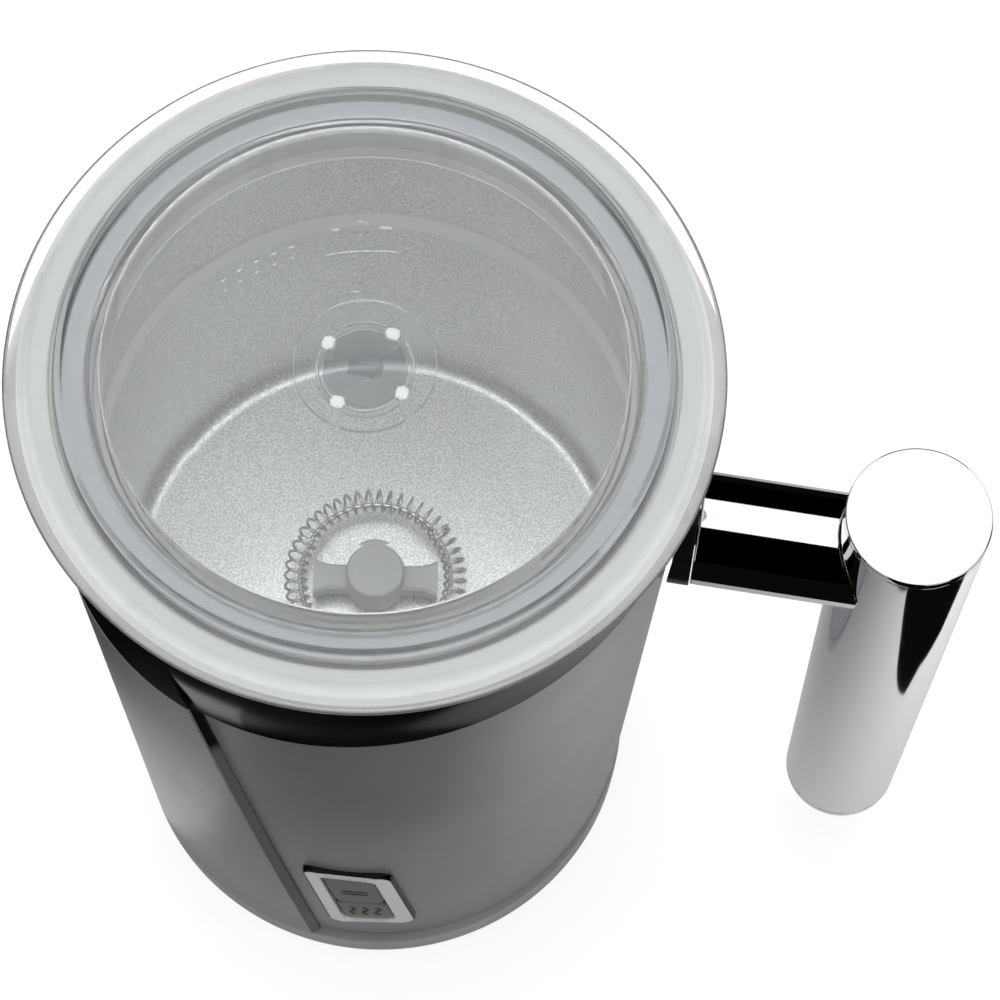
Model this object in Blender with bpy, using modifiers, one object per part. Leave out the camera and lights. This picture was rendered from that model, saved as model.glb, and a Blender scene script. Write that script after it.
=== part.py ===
"""Electric milk frother: a tapered jug with a wrapped steel sleeve, a magnetically driven
whisk, a clear lift-off lid, two buttons and a side handle.

Frame: metres, +Z up, origin at the bottom centre of the whole object's box.
The jug's own axis is vertical, at x = BODY_X; the handle stands on its +X side.
Lengths below are in millimetres and are turned into metres by the helper functions.
"""
import math

import bmesh
import bpy

MM = 0.001
GAP = 0.3                       # clearance between pieces that touch

# ---- overall size -----------------------------------------------------------------------
LID_RADIUS = 55.0               # the widest circle of the lid
LID_EDGE_Z = 168.0              # height of that circle above the table
BODY_BOTTOM_RADIUS = 45.65      # jug radius at the table
BODY_TAPER = 0.03916            # growth of the jug radius per unit of height
HANDLE_X = 87.45                # handle axis, from the jug axis
HANDLE_TOP_Z = 144.35
HANDLE_BOTTOM_Z = 16.6
HANDLE_TOP_RADIUS = 11.6
HANDLE_BOTTOM_RADIUS = 10.07
BODY_X = (LID_RADIUS - HANDLE_X - HANDLE_TOP_RADIUS) / 2    # centres the whole box on x = 0

# ---- outer sleeve and collar ------------------------------------------------------------
SLEEVE_BOTTOM_Z = 5.9
SLEEVE_WALL = 2.8
SLEEVE_TOP_Z = 136.8            # height of the slanted top edge at the jug axis
SLEEVE_TOP_SLOPE = 0.19         # rise of that edge towards the handle
COLLAR_TOP_Z = 165.0
COLLAR_BORE = 46.4
COLLAR_SKIRT = 4.0              # how far the collar reaches down inside the sleeve
COLLAR_SEAT_Z = 161.7           # the step in the collar that carries the pot's gasket
COLLAR_LOW_Z = 112.0
RECESS_DEPTH = 1.95             # the front panel lies this much deeper than the wrap
RECESS_ANGLE = -80.0            # direction in which the recess is deepest
SEAM_ANGLE = -106.3             # the slanted seam crosses SEAM_Z at this angle
SEAM_Z = 73.0
SEAM_LEAN = 6.5
SEAM_WIDTH = 1.8

# ---- pot --------------------------------------------------------------------------------
POT_WALL = 1.0
POT_RIM_Z = 164.8
POT_RIM_RADIUS = 48.8
POT_TOP_RADIUS = 43.6
POT_RIDGE_HIGH_Z = 133.8        # the pot narrows over this band of its wall
POT_RIDGE_LOW_Z = 128.8
POT_RIDGE_RADIUS = 42.4
POT_CORNER = 4.5
POT_FLOOR_Z = 76.0
POT_LOW_RADIUS = 42.0

# ---- buttons ----------------------------------------------------------------------------
PANEL_ANGLE = -84.6             # direction that the button panel faces
PANEL_Z = 35.6
PANEL_LEAN = 7.0
BEZEL_SIZE = (16.0, 34.8)
WINDOW_SIZE = (9.8, 30.2)
WINDOW_SHIFT = -0.3
BUTTON_SPLIT_Z = 32.4
BUTTON_DEPTH = 3.5
BUTTON_PROUD = 0.7
BUTTON_TRAVEL = 0.8
BEZEL_PROUD = 1.2
BEZEL_BACK = -2.4
PANEL_RADIUS = 46.0             # middle of the tall prisms that the panel pieces are cut from
SWITCH_BOARD_RADIUS = 35.0
SWITCH_HEIGHTS = {"upper_switch": 41.5, "lower_switch": 26.2}
SWITCH_DEPTH = 3.4
BOARD_THICKNESS = 1.6

# ---- whisk and drive --------------------------------------------------------------------
WHISK_Z = 80.2                  # height of the coil's centre circle
COIL_RING_RADIUS = 13.55
COIL_TURN_RADIUS = 1.8
COIL_WIRE_RADIUS = 0.28
COIL_TURNS = 36
COIL_STEPS = 6                  # points on each turn
WHISK_ROD_RADIUS = 12.75
WHISK_TURN = 8.0                # direction of the whisk's right arm and of the drive magnets
WHISK_ARM_HALF = [(10.5, 3.1), (9.2, 3.5), (5.0, 2.3)]     # half an arm's outline, to its flared end
WHISK_MAGNET_ORBIT = 8.2
HUB_RADIUS = 4.9
HUB_TOP_Z = 84.4
HUB_BOTTOM_Z = 77.0
SPINDLE_RADIUS = 2.0
SPINDLE_TOP_Z = 82.6
SPINDLE_FOOT_RADIUS = 3.2
CARRIER_RADIUS = 14.5
CARRIER_TOP_Z = 72.6
MAGNET_ORBIT = 9.2
SHAFT_RADIUS = 1.5
SHAFT_TOP_Z = 70.4
SHAFT_BOTTOM_Z = 46.0
MOTOR_RADIUS = 14.0
MOTOR_TOP_Z = 58.0
BRACKET_RADIUS = 45.0
BRACKET_Z = 58.3
VENT_ORBIT = 28.0
VENT_RADIUS = 6.5
HEATER_RADII = (22.0, 34.0)
HEATER_HEIGHT = 3.6

# ---- lid --------------------------------------------------------------------------------
LID_TOP_Z = 172.4
LID_PLUG_RADII = (40.3, 41.5)   # the wall that reaches down into the pot
LID_PLUG_BOTTOM_Z = 158.0
LID_UNDERSIDE_Z = 169.9
SEAL_OUTER_RADIUS = 52.1
SEAL_BOTTOM_Z = 160.2
CLIP_RADIUS = 10.9
CLIP_Z = 169.5                  # top face of the clip's disc, under the lid
PRONG_ORBIT = 5.6
PRONG_ANGLE = 60.0
PRONG_SIZE = (1.4, 2.4, 6.0)

# ---- arm and base -----------------------------------------------------------------------
ARM_Z = 125.4
ARM_RADIUS = 9.24
FERRULE_END_X = 53.5
FERRULE_STEP = 0.35             # the ferrule stands this much proud of the arm
GRIP_WALL = 1.6
CAP_THICKNESS = 1.8             # end cap with its joint line
CAP_PLUG = 6.0
STUD_RADIUS = 3.0
BASE_PLATE_RADIUS = 42.0
BOSS_ORBIT = 36.0
BOSS_RADIUS = 4.2
SCREW_ANGLES = (30.0, 150.0, 270.0)
CONNECTOR_RADIUS = 16.9
CONNECTOR_TOP_Z = 19.0
BOARD_Z = 24.0                  # middle of the control board

ROUND = 48                      # facets round a large turned piece
SMALL_ROUND = 24                # facets round a small turned piece


def body_radius(z):
    """Outer radius of the jug at height z."""
    return BODY_BOTTOM_RADIUS + BODY_TAPER * z


def handle_radius(z):
    """Radius of the handle at height z."""
    share = (z - HANDLE_BOTTOM_Z) / (HANDLE_TOP_Z - HANDLE_BOTTOM_Z)
    return HANDLE_BOTTOM_RADIUS + share * (HANDLE_TOP_RADIUS - HANDLE_BOTTOM_RADIUS)


def polar(radius, angle):
    """X and Y of a point at a radius and an angle in degrees round the jug axis."""
    turn = math.radians(angle)
    return radius * math.cos(turn), radius * math.sin(turn)


# ---- scene helpers ----------------------------------------------------------------------
for old in list(bpy.data.objects):
    bpy.data.objects.remove(old, do_unlink=True)

PARTS = bpy.data.collections.new("milk_frother")
CUTTERS = bpy.data.collections.new("cutters")
bpy.context.scene.collection.children.link(PARTS)
bpy.context.scene.collection.children.link(CUTTERS)


def material(name, colour, roughness, metallic=0.0, transmission=0.0):
    """A Principled material with its own colour and finish."""
    made = bpy.data.materials.new(name)
    made.use_nodes = True
    shader = made.node_tree.nodes["Principled BSDF"]
    shader.inputs["Base Color"].default_value = (*colour, 1.0)
    shader.inputs["Roughness"].default_value = roughness
    shader.inputs["Metallic"].default_value = metallic
    shader.inputs["Transmission Weight"].default_value = transmission
    made.diffuse_color = (*colour, 1.0)
    return made


SATIN_STEEL = material("satin_steel", (0.42, 0.42, 0.44), 0.35, 1.0)
MIRROR_STEEL = material("mirror_steel", (0.75, 0.75, 0.76), 0.06, 1.0)
POT_STEEL = material("pot_steel", (0.55, 0.56, 0.58), 0.45, 0.8)
BLACK_GLOSS = material("black_gloss", (0.01, 0.01, 0.01), 0.15)
BLACK_MATT = material("black_matt", (0.03, 0.03, 0.03), 0.6)
FOOT_GREY = material("foot_grey", (0.12, 0.12, 0.13), 0.5)
BUTTON_GREY = material("button_grey", (0.10, 0.10, 0.09), 0.4)
BEZEL_CHROME = material("bezel_chrome", (0.7, 0.72, 0.75), 0.1, 1.0)
CLEAR = material("clear_plastic", (0.95, 0.97, 0.96), 0.03, 0.0, 1.0)
SILICONE = material("silicone", (0.85, 0.88, 0.87), 0.5)
COPPER = material("copper", (0.7, 0.35, 0.2), 0.3, 1.0)
BOARD_GREEN = material("board_green", (0.02, 0.2, 0.08), 0.5)
MAGNET = material("magnet", (0.3, 0.3, 0.32), 0.3, 1.0)
ZINC = material("zinc", (0.55, 0.56, 0.58), 0.4, 1.0)


def add_object(name, data, finish, at=(0.0, 0.0, 0.0), turn=(0.0, 0.0, 0.0)):
    """Put new data in the scene at a place given from the jug axis, in mm and degrees."""
    made = bpy.data.objects.new(name, data)
    made.location = ((BODY_X + at[0]) * MM, at[1] * MM, at[2] * MM)
    made.rotation_euler = [math.radians(angle) for angle in turn]
    if finish is None:
        CUTTERS.objects.link(made)
        made.hide_render = True
        made.display_type = "WIRE"
    else:
        PARTS.objects.link(made)
        data.materials.append(finish)
    return made


def turned(name, profile, finish, at=(0.0, 0.0, 0.0), steps=ROUND, closed=True, turn=(0.0, 0.0, 0.0)):
    """A turned piece: the (radius, height) profile runs down its outer side first."""
    data = bpy.data.meshes.new(name)
    points = [(radius * MM, 0.0, height * MM) for radius, height in profile]
    edges = [(i, i + 1) for i in range(len(points) - 1)]
    if closed:
        edges.append((len(points) - 1, 0))
    data.from_pydata(points, edges, [])
    made = add_object(name, data, finish, at, turn)
    screw = made.modifiers.new("turn", "SCREW")
    screw.steps = steps
    screw.render_steps = steps
    screw.use_merge_vertices = True
    screw.merge_threshold = 0.00001
    screw.use_smooth_shade = True
    return made


def ring(name, inner, outer, bottom, top, finish, at=(0.0, 0.0, 0.0), steps=ROUND):
    """A flat-sided ring."""
    profile = [(outer, top), (outer, bottom), (inner, bottom), (inner, top)]
    return turned(name, profile, finish, at, steps)


def cylinder(name, radius, bottom, top, finish, at=(0.0, 0.0, 0.0), steps=SMALL_ROUND,
             turn=(0.0, 0.0, 0.0), bevel=0.0, top_radius=None):
    """An upright cylinder or cone frustum, from bottom to top along its own Z."""
    data = bpy.data.meshes.new(name)
    shape = bmesh.new()
    bmesh.ops.create_cone(shape, cap_ends=True, segments=steps, radius1=radius * MM,
                          radius2=(radius if top_radius is None else top_radius) * MM,
                          depth=(top - bottom) * MM)
    bmesh.ops.translate(shape, verts=shape.verts, vec=(0.0, 0.0, (top + bottom) / 2 * MM))
    shape.to_mesh(data)
    shape.free()
    data.shade_smooth()
    data.set_sharp_from_angle(angle=math.radians(35))
    made = add_object(name, data, finish, at, turn)
    if bevel:
        add_bevel(made, bevel)
    return made


def box(name, size, finish, at=(0.0, 0.0, 0.0), turn=(0.0, 0.0, 0.0), bevel=0.0, shift=(0.0, 0.0, 0.0)):
    """A block of a full size, centred on its origin plus a shift in its own axes."""
    data = bpy.data.meshes.new(name)
    shape = bmesh.new()
    bmesh.ops.create_cube(shape, size=1.0)
    bmesh.ops.scale(shape, verts=shape.verts, vec=[side * MM for side in size])
    bmesh.ops.translate(shape, verts=shape.verts, vec=[part * MM for part in shift])
    shape.to_mesh(data)
    shape.free()
    made = add_object(name, data, finish, at, turn)
    if bevel:
        add_bevel(made, bevel)
    return made


def add_bevel(made, width, segments=2):
    """Round a piece's sharp edges."""
    bevel = made.modifiers.new("edges", "BEVEL")
    bevel.width = width * MM
    bevel.segments = segments
    bevel.limit_method = "ANGLE"
    bevel.angle_limit = math.radians(40)


def cut(made, *cutters):
    """Take each cutter's shape away from a piece."""
    combine(made, "DIFFERENCE", *cutters)


def combine(made, operation, *others):
    """Combine a piece with other shapes by a Boolean operation."""
    for other in others:
        step = made.modifiers.new(other.name[:40], "BOOLEAN")
        step.operation = operation
        step.solver = "EXACT"
        step.object = other


def curve_to_mesh(curve_object, finish):
    """Turn a curve into a mesh object with its caps welded, so that it can be cut."""
    name = curve_object.name
    curve_object.name = name + "_curve"
    bpy.context.view_layer.update()
    depsgraph = bpy.context.evaluated_depsgraph_get()
    data = bpy.data.meshes.new_from_object(curve_object.evaluated_get(depsgraph))
    shape = bmesh.new()
    shape.from_mesh(data)
    bmesh.ops.remove_doubles(shape, verts=shape.verts, dist=0.00001)
    shape.to_mesh(data)
    shape.free()
    data.name = name
    data.materials.clear()
    made = add_object(name, data, finish)
    made.matrix_world = curve_object.matrix_world.copy()
    bpy.data.objects.remove(curve_object, do_unlink=True)
    return made


def prism(name, outline, depth, finish, at, turn):
    """A flat outline in mm, given depth along its own Z, as a closed mesh."""
    data = bpy.data.curves.new(name, "CURVE")
    data.dimensions = "2D"
    data.fill_mode = "BOTH"
    data.extrude = depth / 2 * MM
    spline = data.splines.new("POLY")
    spline.points.add(len(outline) - 1)
    for point, (across, up) in zip(spline.points, outline):
        point.co = (across * MM, up * MM, 0.0, 1.0)
    spline.use_cyclic_u = True
    flat = bpy.data.objects.new(name, data)
    flat.location = ((BODY_X + at[0]) * MM, at[1] * MM, at[2] * MM)
    flat.rotation_euler = [math.radians(angle) for angle in turn]
    CUTTERS.objects.link(flat)
    return curve_to_mesh(flat, finish)


def leaning_outline(width, low, high, corner, shift=0.0):
    """A rounded outline whose sides lean by PANEL_LEAN; heights are from the panel's centre."""
    lean = math.tan(math.radians(PANEL_LEAN))
    centres = [(width / 2 - corner, high - corner, 0.0), (corner - width / 2, high - corner, 90.0),
               (corner - width / 2, low + corner, 180.0), (width / 2 - corner, low + corner, 270.0)]
    points = []
    for across, up, start in centres:
        for step in range(5):
            angle = math.radians(start + step * 22.5)
            x = across + corner * math.cos(angle)
            y = up + corner * math.sin(angle)
            points.append((x - y * lean + shift, y))
    return points


def panel_prism(name, outline, depth, finish, centre_radius):
    """A prism of a panel outline that stands out along the panel's direction."""
    x, y = polar(centre_radius, PANEL_ANGLE)
    return prism(name, outline, depth, finish, (x, y, PANEL_Z), (90.0, 0.0, PANEL_ANGLE + 90.0))


def panel_shell(name, inner, outer):
    """A shell that follows the recessed front panel, inner and outer from its surface."""
    x, y = polar(RECESS_DEPTH, RECESS_ANGLE + 180.0)
    profile = [(body_radius(top) + offset, top) for offset, top in ((outer, 60.0), (outer, 8.0))]
    profile += [(body_radius(low) + offset, low) for offset, low in ((inner, 8.0), (inner, 60.0))]
    return turned(name, profile, None, (x, y, 0.0))


# ---- sleeve, seam and collar --------------------------------------------------------------
def slanted_block(name, lift, above):
    """A block whose face is the sleeve's slanted top edge, raised by lift."""
    thickness = 120.0
    tilt = -math.degrees(math.atan(SLEEVE_TOP_SLOPE))
    shift = thickness / 2 if above else -thickness / 2
    return box(name, (220.0, 220.0, thickness), None, (0.0, 0.0, SLEEVE_TOP_Z + lift),
               (0.0, tilt, 0.0), shift=(0.0, 0.0, shift))


def seam_block(name, low, high):
    """A slab beside the leaning seam, between two distances from the seam's plane."""
    x, y = polar(body_radius(SEAM_Z), SEAM_ANGLE)
    return box(name, (40.0, high - low, 260.0), None, (x, y, SEAM_Z), (SEAM_LEAN, 0.0, SEAM_ANGLE),
               shift=(0.0, (low + high) / 2, 0.0))


def wall_ring(name, outer, inner, bottom, top, finish, at=(0.0, 0.0, 0.0)):
    """A ring that follows the jug's taper between two offsets from its surface."""
    profile = [(body_radius(top) + outer, top), (body_radius(bottom) + outer, bottom),
               (body_radius(bottom) + inner, bottom), (body_radius(top) + inner, top)]
    return turned(name, profile, finish, at)


def recess_cutter():
    """The space in front of the recessed panel: an off-centre ring, right of the seam."""
    x, y = polar(RECESS_DEPTH, RECESS_ANGLE + 180.0)
    made = wall_ring("cut_recess", 14.0, 0.0, -5.0, 175.0, None, (x, y, 0.0))
    x, y = polar(body_radius(SEAM_Z), SEAM_ANGLE)
    behind_seam = box("cut_behind_seam", (60.0, 200.0, 300.0), None, (x, y, SEAM_Z),
                      (SEAM_LEAN, 0.0, SEAM_ANGLE), shift=(0.0, -100.0, 0.0))
    cut(made, behind_seam)
    return made


RECESS = recess_cutter()
ABOVE_SLEEVE = slanted_block("cut_above_sleeve", 0.0, True)


def make_outer_sleeve():
    """The wrapped steel sleeve with its slanted top, button opening and arm hole."""
    made = wall_ring("outer_sleeve", 0.0, -SLEEVE_WALL, SLEEVE_BOTTOM_Z, 152.0, SATIN_STEEL)
    half = BEZEL_SIZE[1] / 2 + GAP
    outline = leaning_outline(BEZEL_SIZE[0] + 2 * GAP, -half, half, 2.8)
    opening = panel_prism("cut_button_opening", outline, 20.0, None, PANEL_RADIUS)
    stud_hole = cylinder("cut_stud_hole", STUD_RADIUS + GAP, 30.0, 70.0, None,
                         (0.0, 0.0, ARM_Z), 24, (0.0, 90.0, 0.0))
    cut(made, ABOVE_SLEEVE, RECESS, opening, stud_hole)


def make_seam_strip():
    """The dark strip that covers the seam, on the front panel against the wrap's edge."""
    made = wall_ring("seam_strip", -0.45, -1.25, SLEEVE_BOTTOM_Z + GAP, 152.0, BLACK_GLOSS)
    slab = seam_block("cut_seam_slab", GAP, GAP + SEAM_WIDTH)
    combine(made, "INTERSECT", slab)
    cut(made, ABOVE_SLEEVE)


def make_top_collar():
    """The black collar: it fills the space between the sleeve's slanted edge and the lid."""
    made = turned("top_collar", [
        (body_radius(COLLAR_TOP_Z) - 0.05, COLLAR_TOP_Z),
        (body_radius(COLLAR_LOW_Z) - 0.05, COLLAR_LOW_Z), (COLLAR_BORE, COLLAR_LOW_Z),
        (COLLAR_BORE, COLLAR_SEAT_Z), (POT_RIM_RADIUS + 0.4, COLLAR_SEAT_Z),
        (POT_RIM_RADIUS + 0.4, COLLAR_TOP_Z)], BLACK_GLOSS)
    below_skirt = slanted_block("cut_below_skirt", -COLLAR_SKIRT, False)
    sleeve_space = wall_ring("cut_sleeve_space", 12.0, -SLEEVE_WALL - GAP, 100.0, 158.0, None)
    cut(sleeve_space, slanted_block("cut_above_sleeve_space", GAP, True))
    cut(made, below_skirt, sleeve_space, RECESS)


# ---- pot ----------------------------------------------------------------------------------
def arc(centre, radius, start, end, steps):
    """Points of an arc in the profile plane, angles in degrees from +radius towards +Z."""
    points = []
    for step in range(steps + 1):
        angle = math.radians(start + (end - start) * step / steps)
        points.append((centre[0] + radius * math.cos(angle), centre[1] + radius * math.sin(angle)))
    return points


def make_inner_pot():
    """The milk pot: rim flange, stepped wall and a flat floor with a rounded corner."""
    outer = [(POT_RIM_RADIUS, POT_RIM_Z), (POT_RIM_RADIUS, POT_RIM_Z - POT_WALL),
             (POT_TOP_RADIUS + POT_WALL, POT_RIM_Z - POT_WALL),
             (POT_TOP_RADIUS + POT_WALL - 0.3, POT_RIDGE_HIGH_Z),
             (POT_RIDGE_RADIUS + POT_WALL, POT_RIDGE_LOW_Z)]
    corner = (POT_LOW_RADIUS - POT_CORNER, POT_FLOOR_Z + POT_CORNER)
    outer += arc(corner, POT_CORNER + POT_WALL, 0.0, -90.0, 3)
    outer.append((0.0, POT_FLOOR_Z - POT_WALL))
    inner = [(0.0, POT_FLOOR_Z)]
    inner += arc(corner, POT_CORNER, -90.0, 0.0, 3)
    inner += [(POT_RIDGE_RADIUS, POT_RIDGE_LOW_Z), (POT_TOP_RADIUS - 0.3, POT_RIDGE_HIGH_Z),
              (POT_TOP_RADIUS, POT_RIM_Z - 1.2), (POT_TOP_RADIUS + 1.2, POT_RIM_Z)]
    turned("inner_pot", outer + inner, POT_STEEL)


def make_pot_fittings():
    """Gasket under the pot rim, the whisk's spindle, and what sits under the pot floor."""
    seat = COLLAR_SEAT_Z + GAP
    ring("pot_gasket", POT_RIM_RADIUS - 2.0, POT_RIM_RADIUS, seat, seat + 1.5, SILICONE)
    foot = POT_FLOOR_Z + GAP
    turned("whisk_spindle", [
        (0.0, SPINDLE_TOP_Z), (SPINDLE_RADIUS - 0.6, SPINDLE_TOP_Z - 0.2),
        (SPINDLE_RADIUS, SPINDLE_TOP_Z - 0.8), (SPINDLE_RADIUS, foot + 0.9),
        (SPINDLE_FOOT_RADIUS, foot + 0.5), (SPINDLE_FOOT_RADIUS, foot), (0.0, foot)],
        MIRROR_STEEL, steps=24, closed=False)
    under = POT_FLOOR_Z - POT_WALL - GAP
    inner, outer = HEATER_RADII
    turned("heating_ring", [
        (outer, under), (outer, under - 2.4), (outer - 1.4, under - HEATER_HEIGHT),
        (inner + 1.4, under - HEATER_HEIGHT), (inner, under - 2.4), (inner, under)], ZINC, steps=32)
    x, y = polar(18.4, 100.0)
    cylinder("temperature_sensor", 2.6, under - 5.5, under, COPPER, (x, y, 0.0), 16)
    x, y = polar(28.0, 200.0)
    thickness = 4.6
    height = under - HEATER_HEIGHT - GAP - thickness / 2
    box("thermal_cutout", (8.0, 13.0, thickness), BLACK_MATT, (x, y, height), (0.0, 0.0, 200.0), 0.5)


# ---- drive --------------------------------------------------------------------------------
def make_drive():
    """Motor on its mid plate, and the shaft that turns the magnets under the pot."""
    sheet = 1.8
    rim = BRACKET_RADIUS - 1.6
    bracket = turned("motor_bracket", [
        (BRACKET_RADIUS, BRACKET_Z + 4.5), (BRACKET_RADIUS, BRACKET_Z), (5.0, BRACKET_Z),
        (5.0, BRACKET_Z + sheet), (rim, BRACKET_Z + sheet), (rim, BRACKET_Z + 4.5)], ZINC)
    vents = []
    for count in range(3):
        x, y = polar(VENT_ORBIT, 60.0 + 120.0 * count)
        name = "cut_bracket_vent_%d" % (count + 1)
        vents.append(cylinder(name, VENT_RADIUS, 50.0, 70.0, None, (x, y, 0.0), 12))
    cut(bracket, *vents)
    well = SHAFT_RADIUS + 0.4
    turned("motor_case", [
        (MOTOR_RADIUS - 1.4, MOTOR_TOP_Z), (MOTOR_RADIUS, MOTOR_TOP_Z - 1.0), (MOTOR_RADIUS, 37.0),
        (MOTOR_RADIUS - 1.2, 35.8), (4.0, 35.8), (4.0, 33.4), (0.0, 33.4),
        (0.0, SHAFT_BOTTOM_Z - 0.5), (well, SHAFT_BOTTOM_Z - 0.5), (well, MOTOR_TOP_Z)],
        ZINC, steps=24)
    cylinder("motor_shaft", SHAFT_RADIUS, SHAFT_BOTTOM_Z, SHAFT_TOP_Z, MIRROR_STEEL, steps=16)
    bore = SHAFT_RADIUS + GAP
    disc_low = CARRIER_TOP_Z - 6.2
    hub_low = CARRIER_TOP_Z - 9.0
    carrier = turned("magnet_carrier", [
        (CARRIER_RADIUS, CARRIER_TOP_Z), (CARRIER_RADIUS, disc_low), (5.0, disc_low), (5.0, hub_low),
        (bore, hub_low), (bore, SHAFT_TOP_Z + 0.4), (0.0, SHAFT_TOP_Z + 0.4), (0.0, CARRIER_TOP_Z)],
        BLACK_MATT, steps=24)
    for count in range(2):
        x, y = polar(MAGNET_ORBIT, WHISK_TURN + 180.0 * count)
        pocket = cylinder("cut_magnet_pocket_%d" % (count + 1), 3.6, 68.6, 80.0, None, (x, y, 0.0), 16)
        cylinder("drive_magnet_%d" % (count + 1), 3.2, 69.0, 72.4, MAGNET, (x, y, 0.0), 16)
        cut(carrier, pocket)


# ---- whisk --------------------------------------------------------------------------------
def make_whisk():
    """The lift-out whisk: hub with two flared arms, a ring rod and the wire coil round it."""
    arm_low = WHISK_Z - 2.3
    arm_high = WHISK_Z + 1.0
    outline = [(x, -y) for x, y in reversed(WHISK_ARM_HALF)] + WHISK_ARM_HALF
    outline += [(-x, -y) for x, y in outline]
    hub = prism("whisk_hub", outline, arm_high - arm_low, BLACK_MATT,
                (0.0, 0.0, (arm_low + arm_high) / 2), (0.0, 0.0, WHISK_TURN))
    boss = turned("cut_hub_boss", [
        (0.0, HUB_TOP_Z), (HUB_RADIUS - 0.6, HUB_TOP_Z), (HUB_RADIUS, HUB_TOP_Z - 0.6),
        (HUB_RADIUS, HUB_BOTTOM_Z), (0.0, HUB_BOTTOM_Z)], None, steps=24, closed=False)
    bore = cylinder("cut_hub_bore", SPINDLE_RADIUS + 0.35, 70.0, SPINDLE_TOP_Z + 0.4, None, steps=20)
    mouth = cylinder("cut_hub_mouth", SPINDLE_FOOT_RADIUS + GAP, 70.0, 78.0, None, steps=20)
    combine(hub, "UNION", boss)
    cut(hub, bore, mouth)
    for count in range(2):
        x, y = polar(WHISK_MAGNET_ORBIT, WHISK_TURN + 180.0 * count)
        name = "cut_whisk_pocket_%d" % (count + 1)
        cut(hub, cylinder(name, 2.3, 70.0, 80.0, None, (x, y, 0.0), 12))
        cylinder("whisk_magnet_%d" % (count + 1), 2.0, 78.0, 79.6, MAGNET, (x, y, 0.0), 12)
    section = arc((WHISK_ROD_RADIUS, WHISK_Z), 0.4, 0.0, -300.0, 5)
    turned("whisk_ring", section, MIRROR_STEEL, steps=36)
    make_whisk_coil()


def make_whisk_coil():
    """A wire coil closed into a ring, its turns worked out along the ring."""
    data = bpy.data.curves.new("whisk_coil", "CURVE")
    data.dimensions = "3D"
    data.bevel_depth = COIL_WIRE_RADIUS * MM
    data.bevel_resolution = 0
    data.use_fill_caps = True
    spline = data.splines.new("POLY")
    count = COIL_TURNS * COIL_STEPS
    spline.points.add(count - 1)
    for step, point in enumerate(spline.points):
        round_ring = 2 * math.pi * step / count
        round_turn = 2 * math.pi * step / COIL_STEPS
        radius = COIL_RING_RADIUS + COIL_TURN_RADIUS * math.cos(round_turn)
        x = radius * math.cos(round_ring)
        y = radius * math.sin(round_ring)
        height = -COIL_TURN_RADIUS * math.sin(round_turn)
        point.co = (x * MM, y * MM, height * MM, 1.0)
    spline.use_cyclic_u = True
    add_object("whisk_coil", data, MIRROR_STEEL, (0.0, 0.0, WHISK_Z))


# ---- buttons and electronics --------------------------------------------------------------
def make_button_panel():
    """Chrome bezel in the front panel, two buttons in its window, and their switches."""
    half = BEZEL_SIZE[1] / 2
    outline = leaning_outline(BEZEL_SIZE[0], -half, half, 2.6)
    bezel = panel_prism("button_bezel", outline, 20.0, BEZEL_CHROME, PANEL_RADIUS)
    half = WINDOW_SIZE[1] / 2
    outline = leaning_outline(WINDOW_SIZE[0], -half, half, 2.2, WINDOW_SHIFT)
    window = panel_prism("cut_window", outline, 30.0, None, PANEL_RADIUS)
    combine(bezel, "INTERSECT", panel_shell("cut_bezel_shell", BEZEL_BACK, BEZEL_PROUD))
    cut(bezel, window)
    edge = half - GAP
    split = BUTTON_SPLIT_Z - PANEL_Z
    spans = {"upper_button": (split + GAP / 2, edge), "lower_button": (-edge, split - GAP / 2)}
    shell = panel_shell("cut_button_shell", BUTTON_PROUD - BUTTON_DEPTH, BUTTON_PROUD)
    for name, (low, high) in spans.items():
        outline = leaning_outline(WINDOW_SIZE[0] - 2 * GAP, low, high, 1.9, WINDOW_SHIFT)
        made = panel_prism(name, outline, 20.0, BUTTON_GREY, PANEL_RADIUS)
        combine(made, "INTERSECT", shell)
    x, y = polar(SWITCH_BOARD_RADIUS + BOARD_THICKNESS / 2, PANEL_ANGLE)
    box("switch_board", (BOARD_THICKNESS, 14.0, 34.0), BOARD_GREEN, (x, y, PANEL_Z),
        (0.0, 0.0, PANEL_ANGLE))
    for name, height in SWITCH_HEIGHTS.items():
        make_switch(name, height)


def make_switch(name, height):
    """A tact switch whose plunger ends just past the button's travel from its back."""
    middle = SWITCH_BOARD_RADIUS + BOARD_THICKNESS + GAP + SWITCH_DEPTH / 2
    button_back = body_radius(height) - RECESS_DEPTH + BUTTON_PROUD - BUTTON_DEPTH
    reach = button_back - BUTTON_TRAVEL - GAP - middle
    x, y = polar(middle, PANEL_ANGLE)
    made = box(name, (SWITCH_DEPTH, 6.0, 6.0), BLACK_MATT, (x, y, height), (0.0, 0.0, PANEL_ANGLE))
    plunger = cylinder("cut_" + name + "_plunger", 1.6, 0.0, reach, None, (x, y, height), 16,
                       (0.0, 90.0, PANEL_ANGLE))
    combine(made, "UNION", plunger)


def make_control_board():
    """The main board over the connector, with its relay, capacitor and heat sink."""
    made = box("control_board", (54.0, 44.0, BOARD_THICKNESS), BOARD_GREEN, (0.0, 0.0, BOARD_Z))
    relay = box("cut_relay", (16.0, 10.0, 9.4), None, (-14.0, 14.0, BOARD_Z + 4.2))
    capacitor = cylinder("cut_capacitor", 4.0, BOARD_Z, BOARD_Z + 8.0, None, (18.0, -15.0, 0.0), 20)
    heat_sink = box("cut_heat_sink", (3.0, 18.0, 8.0), None, (24.0, 8.0, BOARD_Z + 4.0))
    combine(made, "UNION", relay, capacitor, heat_sink)


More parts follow.
